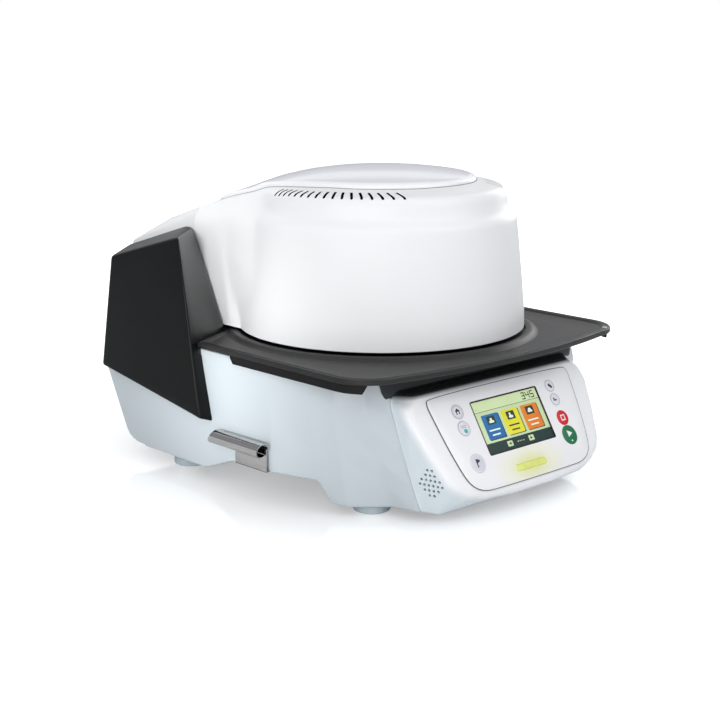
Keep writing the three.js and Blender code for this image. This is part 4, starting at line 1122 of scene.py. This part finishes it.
# Frame under the plate's side edges: it ends in a slant at the front corners
side_frame = prism(plate_outline(2.5), 130.5, 138.5)
boolean(side_frame, prism(plate_outline(5.5), 120, 140))
boolean(side_frame, hull([(x * half, y, z) for x in (-1, 1) for y in (-250, -60)
                          for z, half in ((100, 185), (150, 165.5))]))
rear_notch = [(FRAME_REAR - 5, 100), (FRAME_REAR - 5, 129), (FRAME_REAR, 136), (FRAME_REAR, 160), (WIDE, 160),
              (WIDE, 100)]
boolean(side_frame, side_prism(rear_notch, -250, 250))
finish(side_frame, "base", "plate_dark", ["plate_frame"])


# Painted shade: a near-black sheet over the recess between the plate and the top of the panel housing stands
# in for its shadow
def recess_shade_sheet():
    low, high, corner, proud = 114.5, 135.9, 7, 0.5
    rings = []
    for z in (low, low + 0.15 * corner, low + 0.4 * corner, low + corner, mix(low, high, 0.6), high):
        drawn = max(0, 1 - (z - low) / corner)
        half = seam_half(z) + 2 - corner * (1 - sqrt(max(0, 1 - drawn * drawn)))
        front, wrap = seam_front(z) - proud, 2
        right = [(half, front + 2, z), (half + 3, front + wrap + 2, z), (half + 4, front + wrap, z),
                 (half - 2, front, z)]
        left = [(-x, y, z) for x, y, z in reversed(right)]
        rings.append(right[2:] + left + right[:2])
    return loft(rings, "recess_shade_sheet")


finish(recess_shade_sheet(), "base", "plastic")

# Cheek covers
CHEEK_OUTER = [(82.5, 247), (198, 215), (222, 95.8), (55.5, 70.3)]
CHEEK_INNER = [(146, 247), (260, 213), (260, 136.3), (48, 48)]


def cheek_block(inset=0.0, dropped=0.0, steps=12):
    def loop(x, corners):
        inward = ((1, -1), (-1, -1), (-1, 0), (1, 0))
        points = [(y + dy * inset, z + dz * inset - (dropped if z < 140 else 0))
                  for (y, z), (dy, dz) in zip(corners, inward)]
        out = []
        for k in range(4):
            (y0, z0), (y1, z1) = points[k], points[(k + 1) % 4]
            out += [(x, mix(y0, y1, i / steps), mix(z0, z1, i / steps)) for i in range(steps)]
        return out
    outer, inside = loop(193.5 - inset, CHEEK_OUTER), loop(127.7 + inset, CHEEK_INNER)
    around = mix(np.array(inside[1]), np.array(inside[-1]), 0.5)
    inside[0] = tuple(mix(np.array(inside[0]), around, 0.45))
    rings = [[tuple(mix(np.array(p), np.array(q), k / 6)) for p, q in zip(outer, inside)] for k in range(7)]
    return loft(rings, "cheek_block")


def cheek(side):
    side_name = "right" if side > 0 else "left"
    form = bevel(cheek_block(), 3.2, 5, 24)
    form.name = "cheek_" + side_name
    boolean(form, cheek_block(3.6, 6))
    boolean(form, base_loft(-6, 136.3, -0.4))
    boolean(form, prism(plate_outline(-0.35), 130, 144.7))
    if side < 0:
        form.data.transform(Matrix.Scale(-1, 4, (1, 0, 0)))
        form.data.flip_normals()
    finish(form, "base", "cheek", ["cheek_cover_" + side_name], 30)
    second_material(form, "cheek_gloss", lambda face: face.normal.y < -0.35 and face.normal.x * side < -0.2
                    and face.center.z > DECK * MM)


cheek(1)
cheek(-1)

# Feet
PAD = [(0, 0.6), (13.5, 0.6), (14.2, 0), (16.4, 0), (17.5, 0.7), (18, 2.2), (18, 7.2), (17.3, 7.7),
       (17.3, 8.3), (18, 8.8), (18, 13.6), (17.2, 14.8), (11, 15), (11, 32.6), (0, 32.6)]
for foot in ("front_left", "front_right", "rear_left", "rear_right"):
    low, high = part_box("foot_" + foot)
    centre = ((low.x + high.x) / 2 / MM, ((low.y + high.y) / 2 - AXIS_Y) / MM)
    finish(lathe(PAD, 72, "pad_" + foot, centre), "base", "foot", ["foot_" + foot])


# Tong holder: a rolled steel tube with a slit, its tab and lip
def tong_holder():
    x0, z0, outer, thick = -186.1, 54.8, 7.35, 0.9
    sweep = [radians(310 * k / 44) for k in range(45)]
    loop = [(outer, a) for a in sweep] + [(outer - thick, a) for a in reversed(sweep)]
    rings = []
    for k in range(13):
        t = k / 12
        ring = []
        for r, a in loop:
            z = z0 + r * sin(a)
            far = 46.5 - max(0, (z - z0 + outer) / (2 * outer)) * 8.5
            near = -31 - (z - z0) / outer * 1.8
            ring.append((x0 + r * cos(a), mix(near, far, t), z))
        rings.append(ring)
    tube = loft(rings)
    wall = x0 + outer
    tab = bevel(box(wall - 0.9, wall, -28.8, 18, 31.6, 54.8), 0.25, 2)
    lip = bevel(box(wall - 0.9, wall + 12, -28.8, 18, 31.6, 32.5), 0.25, 2)
    return join("tong_clip", [tube, tab, lip])


finish(tong_holder(), "base", "polish", ["tong_holder"], 40)

# Turned pieces of the chamber
TURNED = {
    "table_pedestal": ("base", "ceramic", "white_ceramic", [
        (0, 112), (56, 112), (56, 143.9), (55.2, 144.7), (41.5, 144.7), (40.6, 145.4), (40, 146.4),
        (40, 149.8), (39.2, 150.7), (0, 150.7)]),
    "firing_table": ("base", "ceramic", "white_ceramic", [
        (0, 151), (33.2, 151), (34, 151.8), (34, 158.2), (33.3, 159), (32, 159), (31, 158), (0, 158)]),
    "sealing_flange": ("base", "steel", "sheet_steel", [
        (PEDESTAL_HOLE, 142.8), (71.4, 142.8), (72, 143.4), (72, 144.2), (71.3, 144.7), (57, 144.7),
        (PEDESTAL_HOLE, 144.1), (PEDESTAL_HOLE, 142.8)]),
    "chamber_seal": ("head", "fibre", "seal_cord", [
        (60, 145.8), (61, 145.2), (64, 145.0), (67, 145.2), (68, 145.8), (67.6, 146.7), (60.4, 146.7),
        (60, 145.8)]),
    "heating_muffle": ("head", "ceramic", "white_ceramic", [
        (45, 151.6), (45.6, 151), (48.4, 151), (49, 151.6), (49, 247), (45, 247), (45, 151.6)]),
}
for turned, (body, material, slot_name, profile) in TURNED.items():
    finish(lathe(profile, 96, "turned_" + turned), body, material, [turned])

# Heating wire wound inside the muffle
WIRE_RADIUS = 0.8
COIL_RADIUS = 43.9
COIL_TURNS = 11


def heating_wire():
    rings = []
    steps = COIL_TURNS * 36
    for k in range(steps + 1):
        a = 2 * pi * k / 36
        ring = circle(COIL_RADIUS, mix(158, 240, k / steps), WIRE_RADIUS, 8)
        rings.append([(cos(a) * r, sin(a) * r, z) for r, z in ring])
    return loft(rings, "heating_wire")


finish(heating_wire(), "head", "coil")

# Finishes of the CAD nodes that stay
KEPT = {
    "steel": "bottom_plate hinge_bracket_left hinge_bracket_right hinge_pin head_arm_left head_arm_right "
             "rear_panel data_port vacuum_connector",
    "motor": "lift_motor transformer",
    "plate_dark": "head_base_plate",
    "ceramic": "muffle_insulation top_insulation thermocouple",
    "board": "control_board power_board",
    "plastic": "speaker power_inlet fuse_holder switch_frame fan_frame power_rocker fan_rotor",
}
for material, kept in KEPT.items():
    for kept_name in kept.split():
        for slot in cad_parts[kept_name].material_slots:
            slot.material = mats[material]

# Stage: a white floor that keeps the shadow and, close to the furnace, a faint reflection
FLOOR_LIFT = 0.34
FLOOR_HALF = 6000
WHITE = (1, 1, 1, 1)


def make_sheet(name, corners, material, color, rough):
    sheet = make(name, corners, [(0, 1, 2, 3)])
    mat, tree, bsdf = shader(material, color, rough)
    sheet.data.materials.append(mat)
    return sheet, tree, bsdf


def make_floor():
    turns = ((-1, -1), (1, -1), (1, 1), (-1, 1))
    corners = [(x * FLOOR_HALF, y * FLOOR_HALF, 0) for x, y in turns]
    floor, tree, bsdf = make_sheet("floor", corners, "floor_white", (0.86, 0.865, 0.87), 0.1)
    from_axis = vector_math(tree, "SUBTRACT", texture_at(tree), (0, AXIS_Y, 0))
    away = length_of(tree, from_axis)
    near = span(tree, away, 0.22, 0.5, FLOOR_LIFT, FLOOR_LIFT + 0.3)
    far = span(tree, away, 0.45, 1.3, FLOOR_LIFT, 1)
    most = node(tree, "Math", {0: near, 1: far}, operation="MAXIMUM")
    seen = node(tree, "LightPath", {}, "Is Camera Ray")
    lift = node(tree, "Math", {0: seen, 1: most}, operation="MULTIPLY")
    glow = node(tree, "Emission", {"Color": WHITE, "Strength": lift})
    feed(tree, bsdf, {"Specular IOR Level": span(tree, away, 0.22, 0.5, 0.45, 0)})
    both = node(tree, "AddShader", {0: bsdf.outputs[0], 1: glow})
    feed(tree, tree.nodes["Material Output"], {"Surface": both})
    return floor


def make_card():
    corners = [(1400, 4400, 1250), (4400, 1400, 1250), (4400, 1400, 2000), (1400, 4400, 2000)]
    card, tree, bsdf = make_sheet("white_card", corners, "card_white", WHITE[:3], 0.9)
    feed(tree, bsdf, {"Emission Color": WHITE, "Emission Strength": 1})
    return card


# The camera sees a white background; the furnace gets a dimmer, slightly blue one
def make_world():
    world = bpy.data.worlds.new("studio")
    scene.world = world
    world.use_nodes = True
    tree = world.node_tree
    soft = tree.nodes["Background"]
    feed(tree, soft, {"Color": (0.93, 0.95, 1.0, 1), "Strength": 0.34})
    white = node(tree, "Background", {"Color": WHITE, "Strength": 1})
    camera_ray = node(tree, "LightPath", {}, "Is Camera Ray")
    through = camera_ray.node.outputs["Is Transmission Ray"]
    seen = node(tree, "Math", {0: camera_ray, 1: through}, operation="MAXIMUM")
    both = node(tree, "MixShader", {"Fac": seen, 1: soft.outputs[0], 2: white})
    feed(tree, tree.nodes["World Output"], {"Surface": both})


def aimed_light(name, kind, place, target, power, **settings):
    data = bpy.data.lights.new(name, kind)
    data.energy = power
    for key, value in settings.items():
        setattr(data, key, value)
    light = add(name, data)
    light.location = place
    light.rotation_euler = (Vector(target) - Vector(place)).to_track_quat("-Z", "Y").to_euler()


make_floor()
make_card()
make_world()
for name, place, target, (wide, tall), power in (
        ("top_soft", (-0.1, -0.1, 1.5), (0, 0, 0.1), (2.2, 2.2), 9),
        ("left_front", (-1.55, -0.8, 0.75), (0, 0, 0.15), (1.6, 1.5), 15),
        ("front_soft", (0.7, -1.6, 1.4), (0, 0, 0.15), (1.6, 1.2), 10),
        ("low_front", (-0.75, -1.5, 0.16), (0, 0, 0.12), (1.6, 0.25), 2),
        ("right_soft", (1.6, 0.2, 0.7), (0, 0, 0.15), (0.8, 1.0), 7),
        ("back_soft", (0.2, 1.6, 1.0), (0, 0, 0.2), (1.2, 0.8), 3.5)):
    aimed_light(name, "AREA", place, target, power, shape="RECTANGLE", size=wide, size_y=tall)
for name, place, target, cone, power in (
        ("base_accent", (-0.95, -0.22, 0.2), (-0.178, 0.015, 0.1), 16, 20),
        ("arm_fill", (-1.1, -0.62, 0.42), (-0.15, 0.09, 0.215), 13, 40)):
    aimed_light(name, "SPOT", place, target, power, spot_size=radians(cone), spot_blend=1,
                shadow_soft_size=0.08)
scene.view_settings.view_transform = "Standard"
